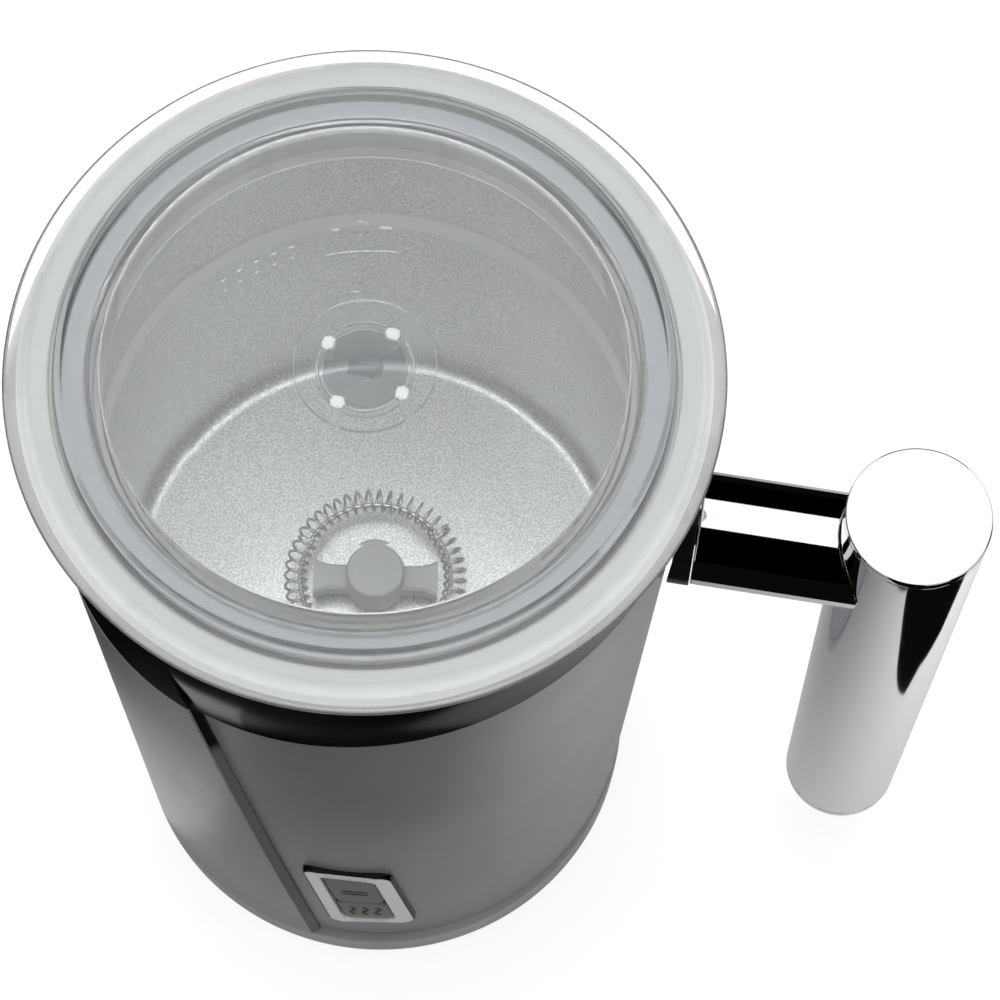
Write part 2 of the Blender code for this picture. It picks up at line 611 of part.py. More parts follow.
# ---- base ---------------------------------------------------------------------------------
def make_base():
    """Foot ring with screw bosses, base plate, plug-in connector and three screws."""
    foot = turned("foot_ring", [
        (body_radius(5.6), 5.6), (body_radius(0.0), 0.0), (BASE_PLATE_RADIUS + 0.4, 0.0),
        (BASE_PLATE_RADIUS + 0.4, 3.8), (31.0, 3.8), (31.0, 5.6)], FOOT_GREY)
    plate = ring("base_plate", CONNECTOR_RADIUS + 0.4, BASE_PLATE_RADIUS, 0.6, 3.5, BLACK_MATT)
    for count, angle in enumerate(SCREW_ANGLES, 1):
        x, y = polar(BOSS_ORBIT, angle)
        boss = cylinder("cut_boss_%d" % count, BOSS_RADIUS, 4.2, 14.0, None, (x, y, 0.0), 16)
        boss_hole = cylinder("cut_boss_hole_%d" % count, 1.8, 0.0, 12.6, None, (x, y, 0.0), 12)
        plate_hole = cylinder("cut_plate_hole_%d" % count, 1.9, -1.0, 10.0, None, (x, y, 0.0), 16)
        counterbore = cylinder("cut_counterbore_%d" % count, 3.3, -1.0, 2.2, None, (x, y, 0.0), 20)
        combine(foot, "UNION", boss)
        cut(foot, boss_hole)
        cut(plate, plate_hole, counterbore)
        turned("base_screw_%d" % count, [
            (0.0, 12.0), (1.0, 12.0), (1.5, 11.2), (1.5, 1.9), (2.9, 1.9), (2.9, 0.8), (1.2, 0.8),
            (1.2, 1.4), (0.0, 1.4)], ZINC, (x, y, 0.0), 12, closed=False)
    groove = 12.0
    turned("power_connector", [
        (CONNECTOR_RADIUS, CONNECTOR_TOP_Z), (CONNECTOR_RADIUS, 1.0), (14.5, 1.0), (14.5, groove),
        (10.5, groove), (10.5, 2.0), (7.5, 2.0), (7.5, groove), (4.2, groove), (4.2, 2.0), (2.2, 2.0),
        (2.2, groove), (0.0, groove), (0.0, CONNECTOR_TOP_Z)], BLACK_MATT, steps=24)


# ---- handle -------------------------------------------------------------------------------
def make_handle():
    """Ferrule, chrome arm with its stud and nut, and the upright grip with two end caps."""
    along_x = (0.0, 90.0, 0.0)
    at_arm = (0.0, 0.0, ARM_Z)
    outside_wall = wall_ring("cut_outside_wall", GAP, -30.0, 90.0, 160.0, None)
    bore = cylinder("cut_arm_bore", STUD_RADIUS + GAP, 30.0, 80.0, None, at_arm, 24, along_x)
    ferrule = cylinder("arm_ferrule", ARM_RADIUS + FERRULE_STEP, 40.0, FERRULE_END_X, BLACK_GLOSS,
                       at_arm, 32, along_x)
    cut(ferrule, outside_wall, bore)
    arm = cylinder("handle_arm", ARM_RADIUS, FERRULE_END_X + GAP, HANDLE_X, MIRROR_STEEL, at_arm, 32,
                   along_x)
    grip_space = cylinder("cut_grip_space", HANDLE_BOTTOM_RADIUS + GAP, HANDLE_BOTTOM_Z, HANDLE_TOP_Z,
                          None, (HANDLE_X, 0.0, 0.0), 36, top_radius=HANDLE_TOP_RADIUS + GAP)
    cut(arm, grip_space, bore)
    cylinder("arm_stud", STUD_RADIUS, 44.6, 82.0, ZINC, at_arm, 20, along_x)
    nut = cylinder("arm_nut", 5.4, 44.9, 47.2, ZINC, at_arm, 6, along_x)
    cut(nut, bore)
    low = HANDLE_BOTTOM_Z + CAP_THICKNESS
    high = HANDLE_TOP_Z - CAP_THICKNESS
    grip = turned("handle_grip", [
        (handle_radius(high), high), (handle_radius(low), low), (handle_radius(low) - GRIP_WALL, low),
        (handle_radius(high) - GRIP_WALL, high)], MIRROR_STEEL, (HANDLE_X, 0.0, 0.0), 36)
    grip_hole = cylinder("cut_grip_hole", STUD_RADIUS + GAP, 70.0, 84.0, None, at_arm, 24, along_x)
    cut(grip, grip_hole)
    make_end_cap("handle_top_cap", high + GAP, HANDLE_TOP_Z, high - CAP_PLUG)
    make_end_cap("handle_bottom_cap", low - GAP, HANDLE_BOTTOM_Z, low + CAP_PLUG)


def make_end_cap(name, inner_z, outer_z, plug_z):
    """A disc that closes one end of the grip, with a plug inside the tube."""
    rim = handle_radius(outer_z)
    plug = handle_radius(plug_z) - GRIP_WALL - 0.4
    edge = 0.4
    below_edge = outer_z + math.copysign(edge, plug_z - outer_z)
    profile = [(0.0, outer_z), (rim - edge, outer_z), (rim, below_edge), (rim, inner_z), (plug, inner_z),
               (plug, plug_z), (0.0, plug_z)]
    if outer_z < plug_z:
        profile.reverse()
    turned(name, profile, MIRROR_STEEL, (HANDLE_X, 0.0, 0.0), 36, closed=False)


# ---- lid ----------------------------------------------------------------------------------
def make_lid():
    """The clear lid with its plug wall, the silicone seal and the spare-whisk clip."""
    edge = LID_EDGE_Z
    plug_inner, plug_outer = LID_PLUG_RADII
    turned("lid", [
        (0.0, LID_TOP_Z), (30.0, LID_TOP_Z - 0.1), (46.0, LID_TOP_Z - 0.4), (46.9, 170.9), (50.6, 170.7),
        (54.3, edge + 0.7), (LID_RADIUS, edge), (54.6, edge - 0.7), (42.4, edge - 0.8), (41.7, edge - 1.6),
        (plug_outer, LID_PLUG_BOTTOM_Z), (plug_inner, LID_PLUG_BOTTOM_Z), (40.0, LID_UNDERSIDE_Z - 1.3),
        (39.0, LID_UNDERSIDE_Z - 0.3), (0.0, LID_UNDERSIDE_Z)], CLEAR, closed=False)
    seal_inner = plug_outer + 0.6
    seal_top = edge - 1.1
    turned("lid_seal", [
        (SEAL_OUTER_RADIUS, seal_top), (SEAL_OUTER_RADIUS, seal_top - 1.6), (43.3, seal_top - 1.6),
        (seal_inner + 1.0, SEAL_BOTTOM_Z), (seal_inner, SEAL_BOTTOM_Z), (seal_inner, seal_top - 0.9),
        (42.8, seal_top)], SILICONE)
    make_clip()


def make_clip():
    """The spare-whisk clip: a clear disc with a socket ring and four prongs."""
    under = CLIP_Z - 1.0
    clip = turned("whisk_clip", [
        (CLIP_RADIUS, CLIP_Z), (CLIP_RADIUS, under), (7.9, under), (7.9, under - 2.3), (7.1, under - 2.3),
        (7.1, under), (2.4, under), (2.4, CLIP_Z)], CLEAR, steps=36)
    for count in range(4):
        angle = PRONG_ANGLE + 90.0 * count
        x, y = polar(PRONG_ORBIT, angle)
        prong = box("cut_prong_%d" % (count + 1), PRONG_SIZE, None, (x, y, under - 2.5), (0.0, 0.0, angle))
        combine(clip, "UNION", prong)


make_outer_sleeve()
make_seam_strip()
make_top_collar()
make_inner_pot()
make_pot_fittings()
make_drive()
make_whisk()
make_button_panel()
make_control_board()
make_base()
make_handle()
make_lid()
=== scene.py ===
"""Looks of the milk frother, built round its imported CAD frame.

Lengths are in mm from the jug's own axis and the surface it stands on, and the helper
functions turn them into metres; the stage's are in metres already. Angles are in degrees
round the jug axis, with 0 towards the handle and -90 towards the buttons.
"""
import math

import bmesh
import bpy
from mathutils import Matrix, Vector

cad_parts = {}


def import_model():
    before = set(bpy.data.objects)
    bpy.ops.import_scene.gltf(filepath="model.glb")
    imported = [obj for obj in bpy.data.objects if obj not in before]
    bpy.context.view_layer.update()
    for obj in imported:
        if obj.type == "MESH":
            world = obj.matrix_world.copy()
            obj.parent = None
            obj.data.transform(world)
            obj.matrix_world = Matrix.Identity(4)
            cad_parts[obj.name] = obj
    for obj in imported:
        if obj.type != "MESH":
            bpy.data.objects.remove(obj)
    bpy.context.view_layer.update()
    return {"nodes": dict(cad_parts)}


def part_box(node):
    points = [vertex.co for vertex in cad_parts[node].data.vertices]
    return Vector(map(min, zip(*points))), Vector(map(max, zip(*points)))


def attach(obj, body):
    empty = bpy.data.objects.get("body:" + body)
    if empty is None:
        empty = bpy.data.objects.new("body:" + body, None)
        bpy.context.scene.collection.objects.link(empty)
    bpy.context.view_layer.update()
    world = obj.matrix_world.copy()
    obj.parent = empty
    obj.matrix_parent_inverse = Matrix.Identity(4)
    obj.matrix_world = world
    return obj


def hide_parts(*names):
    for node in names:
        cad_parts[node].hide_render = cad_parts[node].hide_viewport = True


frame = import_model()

MM = 0.001


def frame_box(node):
    """A CAD node's lowest and highest corners in mm."""
    low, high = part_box(node)
    return low / MM, high / MM


# ---- driving sizes, from the frame ------------------------
LID_LOW, LID_HIGH = frame_box("lid")
CAP_LOW, CAP_HIGH = frame_box("handle_top_cap")
ARM_LOW, ARM_HIGH = frame_box("handle_arm")
AXIS_X = (LID_LOW.x + LID_HIGH.x) / 2
LID_RADIUS = (LID_HIGH.x - LID_LOW.x) / 2
LID_EDGE_Z = LID_HIGH.z - 4.4    # the lid is widest here
COLLAR_TOP_Z = frame_box("top_collar")[1].z
HANDLE_X = (CAP_LOW.x + CAP_HIGH.x) / 2 - AXIS_X
HANDLE_TOP_Z = CAP_HIGH.z
HANDLE_BOTTOM_Z = frame_box("handle_bottom_cap")[0].z
HANDLE_TOP_RADIUS = (CAP_HIGH.x - CAP_LOW.x) / 2
HANDLE_BOTTOM_RADIUS = HANDLE_TOP_RADIUS - 1.53
ARM_Z = (ARM_LOW.z + ARM_HIGH.z) / 2
ARM_RADIUS = (ARM_HIGH.y - ARM_LOW.y) / 2
FERRULE_END_X = frame_box("arm_ferrule")[1].x - AXIS_X

# ---- shapes that the frame holds but doesn't name ---------
BODY_RADIUS = 45.65             # jug radius at the table
BODY_TAPER = 0.03916            # growth of that radius for each mm of height
FOOT_TOP_Z = 5.6
SLEEVE_BOTTOM_Z = 5.9
SLEEVE_TOP_Z = 136.8            # height of the slanted edge at the jug's axis
SLEEVE_TOP_SLOPE = 0.19         # its rise for each mm towards the handle
SLEEVE_SHEET = 0.8              # thickness of the steel sheet
COLLAR_WALL = 2.7
COLLAR_GAP = 0.03               # between the collar and the sleeve
COLLAR_RECESS = 0.42            # share of the front recess that the collar's lower edge follows
COLLAR_FADE = 20.0              # height over which it grows out of that recess
RECESS_DEPTH = 1.95             # the front panel's circle is the body's, moved back this far
RECESS_ANGLE = -80.0            # from this direction
SEAM_ANGLE = -106.3
SEAM_Z = 73.0                   # height where the seam stands at its angle
SEAM_LEAN = math.radians(6.5)
SEAM_STRIP = (0.03, 1.1)        # the dark strip's edges, from the seam
PANEL_ANGLE = -84.6
PANEL_Z = 35.6
PANEL_LEAN = math.radians(7.0)
BEZEL_SIZE = (16.0, 34.8)       # width and height
BEZEL_CORNER = 2.6
BEZEL_LAP = 1.6                 # how far the bezel overlaps the sleeve's opening
BEZEL_PROUD = 1.2
WINDOW_SIZE = (9.8, 30.2)
WINDOW_CORNER = 2.2
WINDOW_SHIFT = -0.3
BUTTON_SPLIT_Z = 32.4
BUTTON_CORNER = 1.9
BUTTON_GAP = 0.3
BUTTON_PROUD = 0.7
POT_FLOOR_Z = 76.0
POT_RIM_Z = 164.8
POT_WALL_RADIUS = 42.4
RIDGE_HIGH_Z = 133.8            # the pot narrows over this band of its wall
RIDGE_LOW_Z = 128.8
WHISK_Z = 80.2
WHISK_TURN = math.radians(8.0)  # the arms' direction at rest
ROD_RING_RADIUS = 12.75
ROD_RADIUS = 0.38
COIL_RING_RADIUS = 13.55
COIL_TURN_RADIUS = 1.8
COIL_TURNS = 48
COIL_WIRE_RADIUS = 0.25
PRONG_RADIUS = 6.9              # the clip's prongs stand on this circle
HANDLE_WALL = 1.6
HANDLE_CAP = 1.8                # height of the handle's end caps
CAP_GAP = 0.1

# ---- camera -----------------------------------------------
CAMERA_AZIMUTH = math.radians(7.196)
CAMERA_ELEVATION = math.radians(68.282)
CAMERA_ROLL = math.radians(2.118)
CAMERA_PLACE = (49.44, -223.01, 688.20)
CAMERA_LENS = 134.8             # on a sensor 36 mm wide

# ---- mesh fineness, in steps round or along a piece -------
FINE = 256                      # round a large turned piece
MEDIUM = 192                    # round the handle
SMALL = 128                     # round the clip
COIL_STEPS = 22                 # round one turn of the coil


# ---- geometry helpers -------------------------------------
def world(x, y, z):
    """A point given in mm from the jug axis, in the frame's metres."""
    return Vector(((AXIS_X + x) * MM, y * MM, z * MM))


def polar(radius, angle, z):
    """A point at a radius and an angle in degrees round the jug axis."""
    turn = math.radians(angle)
    return world(radius * math.cos(turn), radius * math.sin(turn), z)


def body_radius(z):
    """Outer radius of the jug at height z."""
    return BODY_RADIUS + BODY_TAPER * z


def front_radius(angle, z):
    """Distance from the jug axis to the recessed front panel in one direction."""
    along = RECESS_DEPTH * math.cos(math.radians(angle - RECESS_ANGLE - 180.0))
    across = RECESS_DEPTH * math.sin(math.radians(angle - RECESS_ANGLE - 180.0))
    return along + math.sqrt(body_radius(z) ** 2 - across ** 2)


def seam_angle(z, offset=0.0):
    """Angle of the leaning seam at height z, moved sideways by offset."""
    side = offset / math.cos(SEAM_LEAN) - math.tan(SEAM_LEAN) * (z - SEAM_Z)
    return SEAM_ANGLE + math.degrees(math.asin(side / body_radius(z)))


def sleeve_top(angle):
    """Height of the sleeve's slanted top edge in one direction."""
    height = SLEEVE_TOP_Z
    for _ in range(4):
        height = SLEEVE_TOP_Z + SLEEVE_TOP_SLOPE * body_radius(height) * math.cos(math.radians(angle))
    return height


def soften(corners, loop=True, steps=4):
    """Profile points with each (radius, height, fillet) corner rounded by its fillet."""
    points = []
    count = len(corners)
    for number, (radius, height, fillet) in enumerate(corners):
        at_end = not loop and number in (0, count - 1)
        if fillet <= 0.0 or at_end:
            points.append((radius, height))
            continue
        here = Vector((radius, height))
        back = Vector(corners[number - 1][:2]) - here
        ahead = Vector(corners[(number + 1) % count][:2]) - here
        half_angle = max(back.angle(ahead) / 2, 0.05)
        reach = min(fillet / math.tan(half_angle), 0.45 * back.length, 0.45 * ahead.length)
        start = here + back.normalized() * reach
        end = here + ahead.normalized() * reach
        for step in range(steps + 1):
            share = step / steps
            point = start * (1 - share) ** 2 + here * 2 * share * (1 - share) + end * share ** 2
            points.append((point.x, point.y))
    return points


def add_object(name, data):
    """A new object in the scene."""
    made = bpy.data.objects.new(name, data)
    bpy.context.scene.collection.objects.link(made)
    return made


def mesh_object(name, shape):
    """A new object from a bmesh, which is freed."""
    data = bpy.data.meshes.new(name)
    shape.to_mesh(data)
    shape.free()
    return add_object(name, data)


def finish_mesh(name, shape, smooth_angle=40.0):
    """Turn a bmesh into a smooth-shaded object with its sharp edges marked."""
    bmesh.ops.recalc_face_normals(shape, faces=shape.faces)
    made = mesh_object(name, shape)
    made.data.shade_smooth()
    made.data.set_sharp_from_angle(angle=math.radians(smooth_angle))
    flat_look = made.modifiers.new("flat_faces", "WEIGHTED_NORMAL")
    flat_look.keep_sharp = True
    return made


def skin(name, rings, loop_rings=False, caps=True, smooth_angle=40.0):
    """A surface through rings of points; a ring of one point is a tip, and caps close open ends."""
    shape = bmesh.new()
    rows = []
    count = max(len(points) for points in rings)
    for points in rings:
        made = [shape.verts.new(point) for point in points]
        rows.append(made * (count // len(made)))
    pairs = list(zip(rows, rows[1:]))
    if loop_rings:
        pairs.append((rows[-1], rows[0]))
    for upper, lower in pairs:
        for i in range(count):
            j = (i + 1) % count
            corners = []
            for vertex in (upper[i], lower[i], lower[j], upper[j]):
                if vertex not in corners:
                    corners.append(vertex)
            if len(corners) > 2:
                shape.faces.new(corners)
    if caps and not loop_rings:
        for row in (rows[0], rows[-1]):
            if row[0] is not row[1]:
                shape.faces.new(row)
    return finish_mesh(name, shape, smooth_angle)


def lathe(name, profile, loop=True, steps=FINE, centre=(0.0, 0.0), smooth_angle=40.0):
    """A turned piece from (radius, height) points that run down its outer side first."""
    rings = []
    for radius, height in profile:
        if radius < 0.001:
            rings.append([world(centre[0], centre[1], height)])
            continue
        ring = []
        for step in range(steps):
            turn = 2 * math.pi * step / steps
            x = centre[0] + radius * math.cos(turn)
            y = centre[1] + radius * math.sin(turn)
            ring.append(world(x, y, height))
        rings.append(ring)
    return skin(name, rings, loop_rings=loop, caps=False, smooth_angle=smooth_angle)


def place(made, finish, body, slot, *nodes):
    """Give a piece its material and its body, and hide the CAD nodes that it stands for; slot is not used.
    """
    made.data.materials.clear()
    made.data.materials.append(finish)
    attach(made, body)
    if nodes:
        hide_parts(*nodes)


# ---- materials --------------------------------------------
def new_finish(name, colour, roughness, metallic=0.0, **sockets):
    """A Principled material and its nodes, with uniform values set on the shader's own sockets."""
    made = bpy.data.materials.new(name)
    made.use_nodes = True
    shader = made.node_tree.nodes["Principled BSDF"]
    shader.inputs["Base Color"].default_value = (*colour, 1.0)
    shader.inputs["Roughness"].default_value = roughness
    shader.inputs["Metallic"].default_value = metallic
    for socket, value in sockets.items():
        shader.inputs[socket.replace("_", " ")].default_value = value
    return made, shader


def add_noise(made, scale, detail=3.0, stretch=(1.0, 1.0, 1.0)):
    """A noise value over the object's own coordinates; scale is in bumps per metre."""
    nodes = made.node_tree.nodes
    links = made.node_tree.links
    place_node = nodes.new("ShaderNodeTexCoord")
    mapping = nodes.new("ShaderNodeMapping")
    mapping.inputs["Scale"].default_value = stretch
    noise = nodes.new("ShaderNodeTexNoise")
    noise.inputs["Scale"].default_value = scale
    noise.inputs["Detail"].default_value = detail
    links.new(place_node.outputs["Object"], mapping.inputs["Vector"])
    links.new(mapping.outputs["Vector"], noise.inputs["Vector"])
    return noise.outputs["Fac"]


def spread(made, value, low, high, from_low=0.3, from_high=0.7):
    """Map a value between two limits, by default a noise's, to the range from low to high."""
    node = made.node_tree.nodes.new("ShaderNodeMapRange")
    node.inputs["From Min"].default_value = from_low
    node.inputs["From Max"].default_value = from_high
    node.inputs["To Min"].default_value = low
    node.inputs["To Max"].default_value = high
    made.node_tree.links.new(value, node.inputs["Value"])
    return node.outputs["Result"]


def height_above_table(made):
    """The height of a point of the piece when it is at rest, in metres."""
    spot = made.node_tree.nodes.new("ShaderNodeTexCoord")
    parts = made.node_tree.nodes.new("ShaderNodeSeparateXYZ")
    made.node_tree.links.new(spot.outputs["Object"], parts.inputs["Vector"])
    return parts.outputs["Z"]


def reach_from_axis(made):
    """The distance of a point of the piece from the jug axis at rest, in metres."""
    links = made.node_tree.links
    spot = made.node_tree.nodes.new("ShaderNodeTexCoord")
    flat = made.node_tree.nodes.new("ShaderNodeVectorMath")
    flat.operation = "MULTIPLY_ADD"
    flat.inputs[1].default_value = (1.0, 1.0, 0.0)
    flat.inputs[2].default_value = (-AXIS_X * MM, 0.0, 0.0)
    reach = made.node_tree.nodes.new("ShaderNodeVectorMath")
    reach.operation = "LENGTH"
    links.new(spot.outputs["Object"], flat.inputs[0])
    links.new(flat.outputs["Vector"], reach.inputs[0])
    return reach.outputs["Value"]


def mix_colour(made, value, first, second):
    """A colour between two, by a value."""
    node = made.node_tree.nodes.new("ShaderNodeMix")
    node.data_type = "RGBA"
    node.inputs["A"].default_value = (*first, 1.0)
    node.inputs["B"].default_value = (*second, 1.0)
    made.node_tree.links.new(value, node.inputs["Factor"])
    return node.outputs["Result"]


def combine(made, operation, first, second):
    """Two values joined by a maths operation."""
    node = made.node_tree.nodes.new("ShaderNodeMath")
    node.operation = operation
    made.node_tree.links.new(first, node.inputs[0])
    made.node_tree.links.new(second, node.inputs[1])
    return node.outputs["Value"]


def add_bump(made, shader, value, strength, depth):
    """Bump from a value, with its depth in metres."""
    node = made.node_tree.nodes.new("ShaderNodeBump")
    node.inputs["Strength"].default_value = strength
    node.inputs["Distance"].default_value = depth
    made.node_tree.links.new(value, node.inputs["Height"])
    made.node_tree.links.new(node.outputs["Normal"], shader.inputs["Normal"])


def satin_steel():
    """Brushed sleeve steel: fine lines round the jug, with a soft uneven sheen."""
    made, shader = new_finish("brushed_sleeve_steel", (0.40, 0.40, 0.42), 0.33, 0.78, Anisotropic=0.45)
    lines = add_noise(made, 60.0, 4.0, (1.0, 1.0, 60.0))
    smudges = add_noise(made, 28.0, 2.0)
    tone = mix_colour(made, spread(made, smudges, 0.0, 1.0), (0.37, 0.37, 0.39), (0.43, 0.43, 0.445))
    made.node_tree.links.new(tone, shader.inputs["Base Color"])
    made.node_tree.links.new(spread(made, lines, 0.31, 0.41), shader.inputs["Roughness"])
    add_bump(made, shader, lines, 0.2, 0.00004)
    return made


def chrome(name, tone, roughness, metallic=1.0):
    """Polished metal with faint wipe marks."""
    made, shader = new_finish(name, (tone * 0.98, tone, tone * 1.03), roughness, metallic)
    wipes = add_noise(made, 90.0, 3.0, (1.0, 1.0, 0.25))
    marks = add_noise(made, 900.0, 2.0, (1.0, 1.0, 0.1))
    gloss = spread(made, wipes, roughness * 0.6, roughness * 1.7)
    made.node_tree.links.new(gloss, shader.inputs["Roughness"])
    add_bump(made, shader, marks, 0.03, 0.00001)
    return made


def pot_steel():
    """Blasted matt steel inside the pot: fine sparkling grains, and a painted highlight on the ridge, a
    paler and less metallic band.
    """
    made, shader = new_finish("blasted_pot_steel", (0.5, 0.51, 0.52), 0.38, 0.7)
    links = made.node_tree.links
    grains = add_noise(made, 3200.0, 1.0)
    clouds = add_noise(made, 35.0, 2.0)
    sparkle = spread(made, grains, 0.0, 1.0, 0.42, 0.6)
    tone = mix_colour(made, sparkle, (0.50, 0.51, 0.52), (0.80, 0.81, 0.82))
    height = height_above_table(made)
    # Painted highlight: the ridge's band between these heights gets a paler colour and less metal.
    under = spread(made, height, 0.0, 1.0, (RIDGE_LOW_Z - 0.6) * MM, (RIDGE_LOW_Z + 0.8) * MM)
    over = spread(made, height, 1.0, 0.0, (RIDGE_HIGH_Z - 1.5) * MM, (RIDGE_HIGH_Z + 0.2) * MM)
    band = combine(made, "MULTIPLY", under, over)
    links.new(spread(made, band, 0.7, 0.3, 0.0, 1.0), shader.inputs["Metallic"])
    # The painted highlight colour on the ridge.
    bright = mix_colour(made, band, (0.5, 0.5, 0.5), (0.9, 0.91, 0.92))
    links.new(tone, bright.node.inputs["A"])
    links.new(bright, shader.inputs["Base Color"])
    links.new(spread(made, clouds, 0.34, 0.42), shader.inputs["Roughness"])
    add_bump(made, shader, grains, 0.3, 0.00006)
    return made


def plastic(name, colour, roughness, grain=1400.0, depth=0.00002, **sockets):
    """Moulded plastic with a fine grain and a slightly uneven gloss."""
    made, shader = new_finish(name, colour, roughness, 0.0, **sockets)
    grains = add_noise(made, grain, 2.0)
    clouds = add_noise(made, 45.0, 2.0)
    lighter = [min(1.0, part * 1.18 + 0.004) for part in colour]
    tone = mix_colour(made, spread(made, clouds, 0.0, 1.0), colour, lighter)
    made.node_tree.links.new(tone, shader.inputs["Base Color"])
    gloss = spread(made, clouds, roughness * 0.85, roughness * 1.2)
    made.node_tree.links.new(gloss, shader.inputs["Roughness"])
    add_bump(made, shader, grains, 0.25, depth)
    return made


def strip_plastic():
    """Grey plastic that turns black where the strip runs up to the collar."""
    grey = (0.075, 0.077, 0.078)
    made = plastic("seam_strip_grey", grey, 0.4)
    shader = made.node_tree.nodes["Principled BSDF"]
    black_share = spread(made, height_above_table(made), 0.0, 1.0, 112.0 * MM, 116.0 * MM)
    tone = mix_colour(made, black_share, grey, (0.002, 0.002, 0.002))
    made.node_tree.links.new(tone, shader.inputs["Base Color"])
    return made


def seal_silicone_painted_groove_shade():
    """Pale silicone with painted shade: a near-black band painted over its groove parts its pale flange from
    its deeper-toned inner lip.
    """
    made, shader = new_finish("seal_silicone_painted_groove_shade", (0.34, 0.37, 0.37), 0.45)
    links = made.node_tree.links
    share = spread(made, reach_from_axis(made), 0.0, 1.0, 47.3 * MM, 47.7 * MM)
    clouds = add_noise(made, 60.0, 2.0)
    pale = mix_colour(made, clouds, (0.36, 0.39, 0.39), (0.41, 0.43, 0.43))
    # Painted shade: between the inner lip and the flange the colour turns near-black over the groove.
    painted_groove_shade_share = spread(made, reach_from_axis(made), 0.0, 1.0, 45.8 * MM, 46.2 * MM)
    deep = mix_colour(made, painted_groove_shade_share, (0.25, 0.27, 0.29), (0.015, 0.017, 0.02))
    tone = mix_colour(made, share, (0.0, 0.0, 0.0), (1.0, 1.0, 1.0))
    links.new(deep, tone.node.inputs["A"])
    links.new(pale, tone.node.inputs["B"])
    links.new(tone, shader.inputs["Base Color"])
    add_bump(made, shader, add_noise(made, 300.0, 2.0), 0.1, 0.00001)
    return made


def clear_plastic(name, tint, bend):
    """Clear moulded plastic with faint flow marks, and its index of refraction."""
    made, shader = new_finish(name, tint, 0.0, 0.0, Transmission_Weight=1.0, IOR=bend)
    flow = add_noise(made, 25.0, 2.0)
    made.node_tree.links.new(spread(made, flow, 0.0, 0.02), shader.inputs["Roughness"])
    add_bump(made, shader, flow, 0.04, 0.0002)
    return made


def lid_plastic():
    """The lid's clear plastic, with milky rings, a frosted foot to its wall and painted shade along its
    outer edge.
    """
    tint = (0.965, 0.975, 0.973)
    rings = ((0.0, 1.0), (39.7, 1.0), (40.1, 0.8), (42.3, 0.82),    # radius in mm, clearness
             (43.2, 0.97), (50.6, 0.94), (52.4, 0.74), (54.8, 0.78))
    made = clear_plastic("lid_clear_plastic", tint, 1.49)
    links = made.node_tree.links
    shader = made.node_tree.nodes["Principled BSDF"]
    ramp = made.node_tree.nodes.new("ShaderNodeValToRGB")
    reach = reach_from_axis(made)
    height = height_above_table(made)
    links.new(spread(made, reach, 0.0, 1.0, 0.0, LID_RADIUS * MM), ramp.inputs["Fac"])
    stops = ramp.color_ramp.elements
    for radius, clearness in rings[2:]:
        stops.new(radius / LID_RADIUS)
    for stop, (radius, clearness) in zip(stops, rings):
        stop.position = radius / LID_RADIUS
        stop.color = (clearness, clearness, clearness, 1.0)
    clear_top = spread(made, height, 0.0, 1.0, 170.9 * MM, 171.1 * MM)
    milky = combine(made, "MAXIMUM", ramp.outputs["Color"], clear_top)
    frosted_foot = spread(made, height, 0.3, 1.0, 158.2 * MM, 158.6 * MM)
    links.new(combine(made, "MINIMUM", milky, frosted_foot), shader.inputs["Transmission Weight"])
    # Painted shade: the colour turns dark grey at the lid's outermost edge.
    edge = spread(made, reach, 0.0, 1.0, (LID_RADIUS - 0.45) * MM, (LID_RADIUS - 0.2) * MM)
    links.new(mix_colour(made, edge, tint, (0.22, 0.22, 0.22)), shader.inputs["Base Color"])
    return made


STEEL = satin_steel()
CHROME = chrome("polished_chrome", 0.86, 0.035)
BEZEL = chrome("bezel_chrome_plate", 0.66, 0.10, 0.45)
WIRE = chrome("whisk_wire_steel", 0.45, 0.18)
POT = pot_steel()
BLACK = plastic("collar_gloss_black", (0.0015, 0.0015, 0.002), 0.12, 500.0, 0.000004,
                Specular_IOR_Level=0.07)
# Painted shade: near-black metal for the band round the bezel, standing in for the gap's shadow and the
# frame's dark side wall.
EDGE_PAINTED_SHADE = chrome("bezel_edge_shadow", 0.03, 0.08)
MATT_BLACK = plastic("matt_black_plastic", (0.025, 0.025, 0.026), 0.5)
STRIP_GREY = strip_plastic()
FOOT = plastic("foot_grey_plastic", (0.2, 0.2, 0.21), 0.42)
KEY_GREY = plastic("button_grey_plastic", (0.085, 0.088, 0.078), 0.35)
KEY_MARK = plastic("button_mark_ink", (0.02, 0.02, 0.02), 0.5)
HUB_GREY = plastic("whisk_hub_plastic", (0.42, 0.43, 0.435), 0.5, 300.0, 0.00001)
SILICONE = seal_silicone_painted_groove_shade()
FROSTED = plastic("clip_frosted_plastic", (0.93, 0.94, 0.94), 0.3, 700.0, 0.00006)
CLEAR = lid_plastic()
CLIP_CLEAR = clear_plastic("clip_clear_plastic", (0.93, 0.945, 0.945), 1.12)
SMOKY_CLEAR = clear_plastic("clip_socket_plastic", (0.53, 0.565, 0.58), 1.05)
ZINC = chrome("zinc_plate", 0.5, 0.3)
COPPER = chrome("copper_cap", 0.5, 0.3)
BOARD = plastic("board_green_mask", (0.02, 0.16, 0.06), 0.4)
MAGNET = chrome("magnet_nickel", 0.4, 0.25)


# ---- jug shell --------------------------------------------
def shell_radius(angle, z, past_seam):
    """Outer radius of the wrapped sheet; past_seam is how far round from the seam it is."""
    full = body_radius(z)
    if past_seam > 180.0:
        return full
    return min(full, front_radius(angle, z))


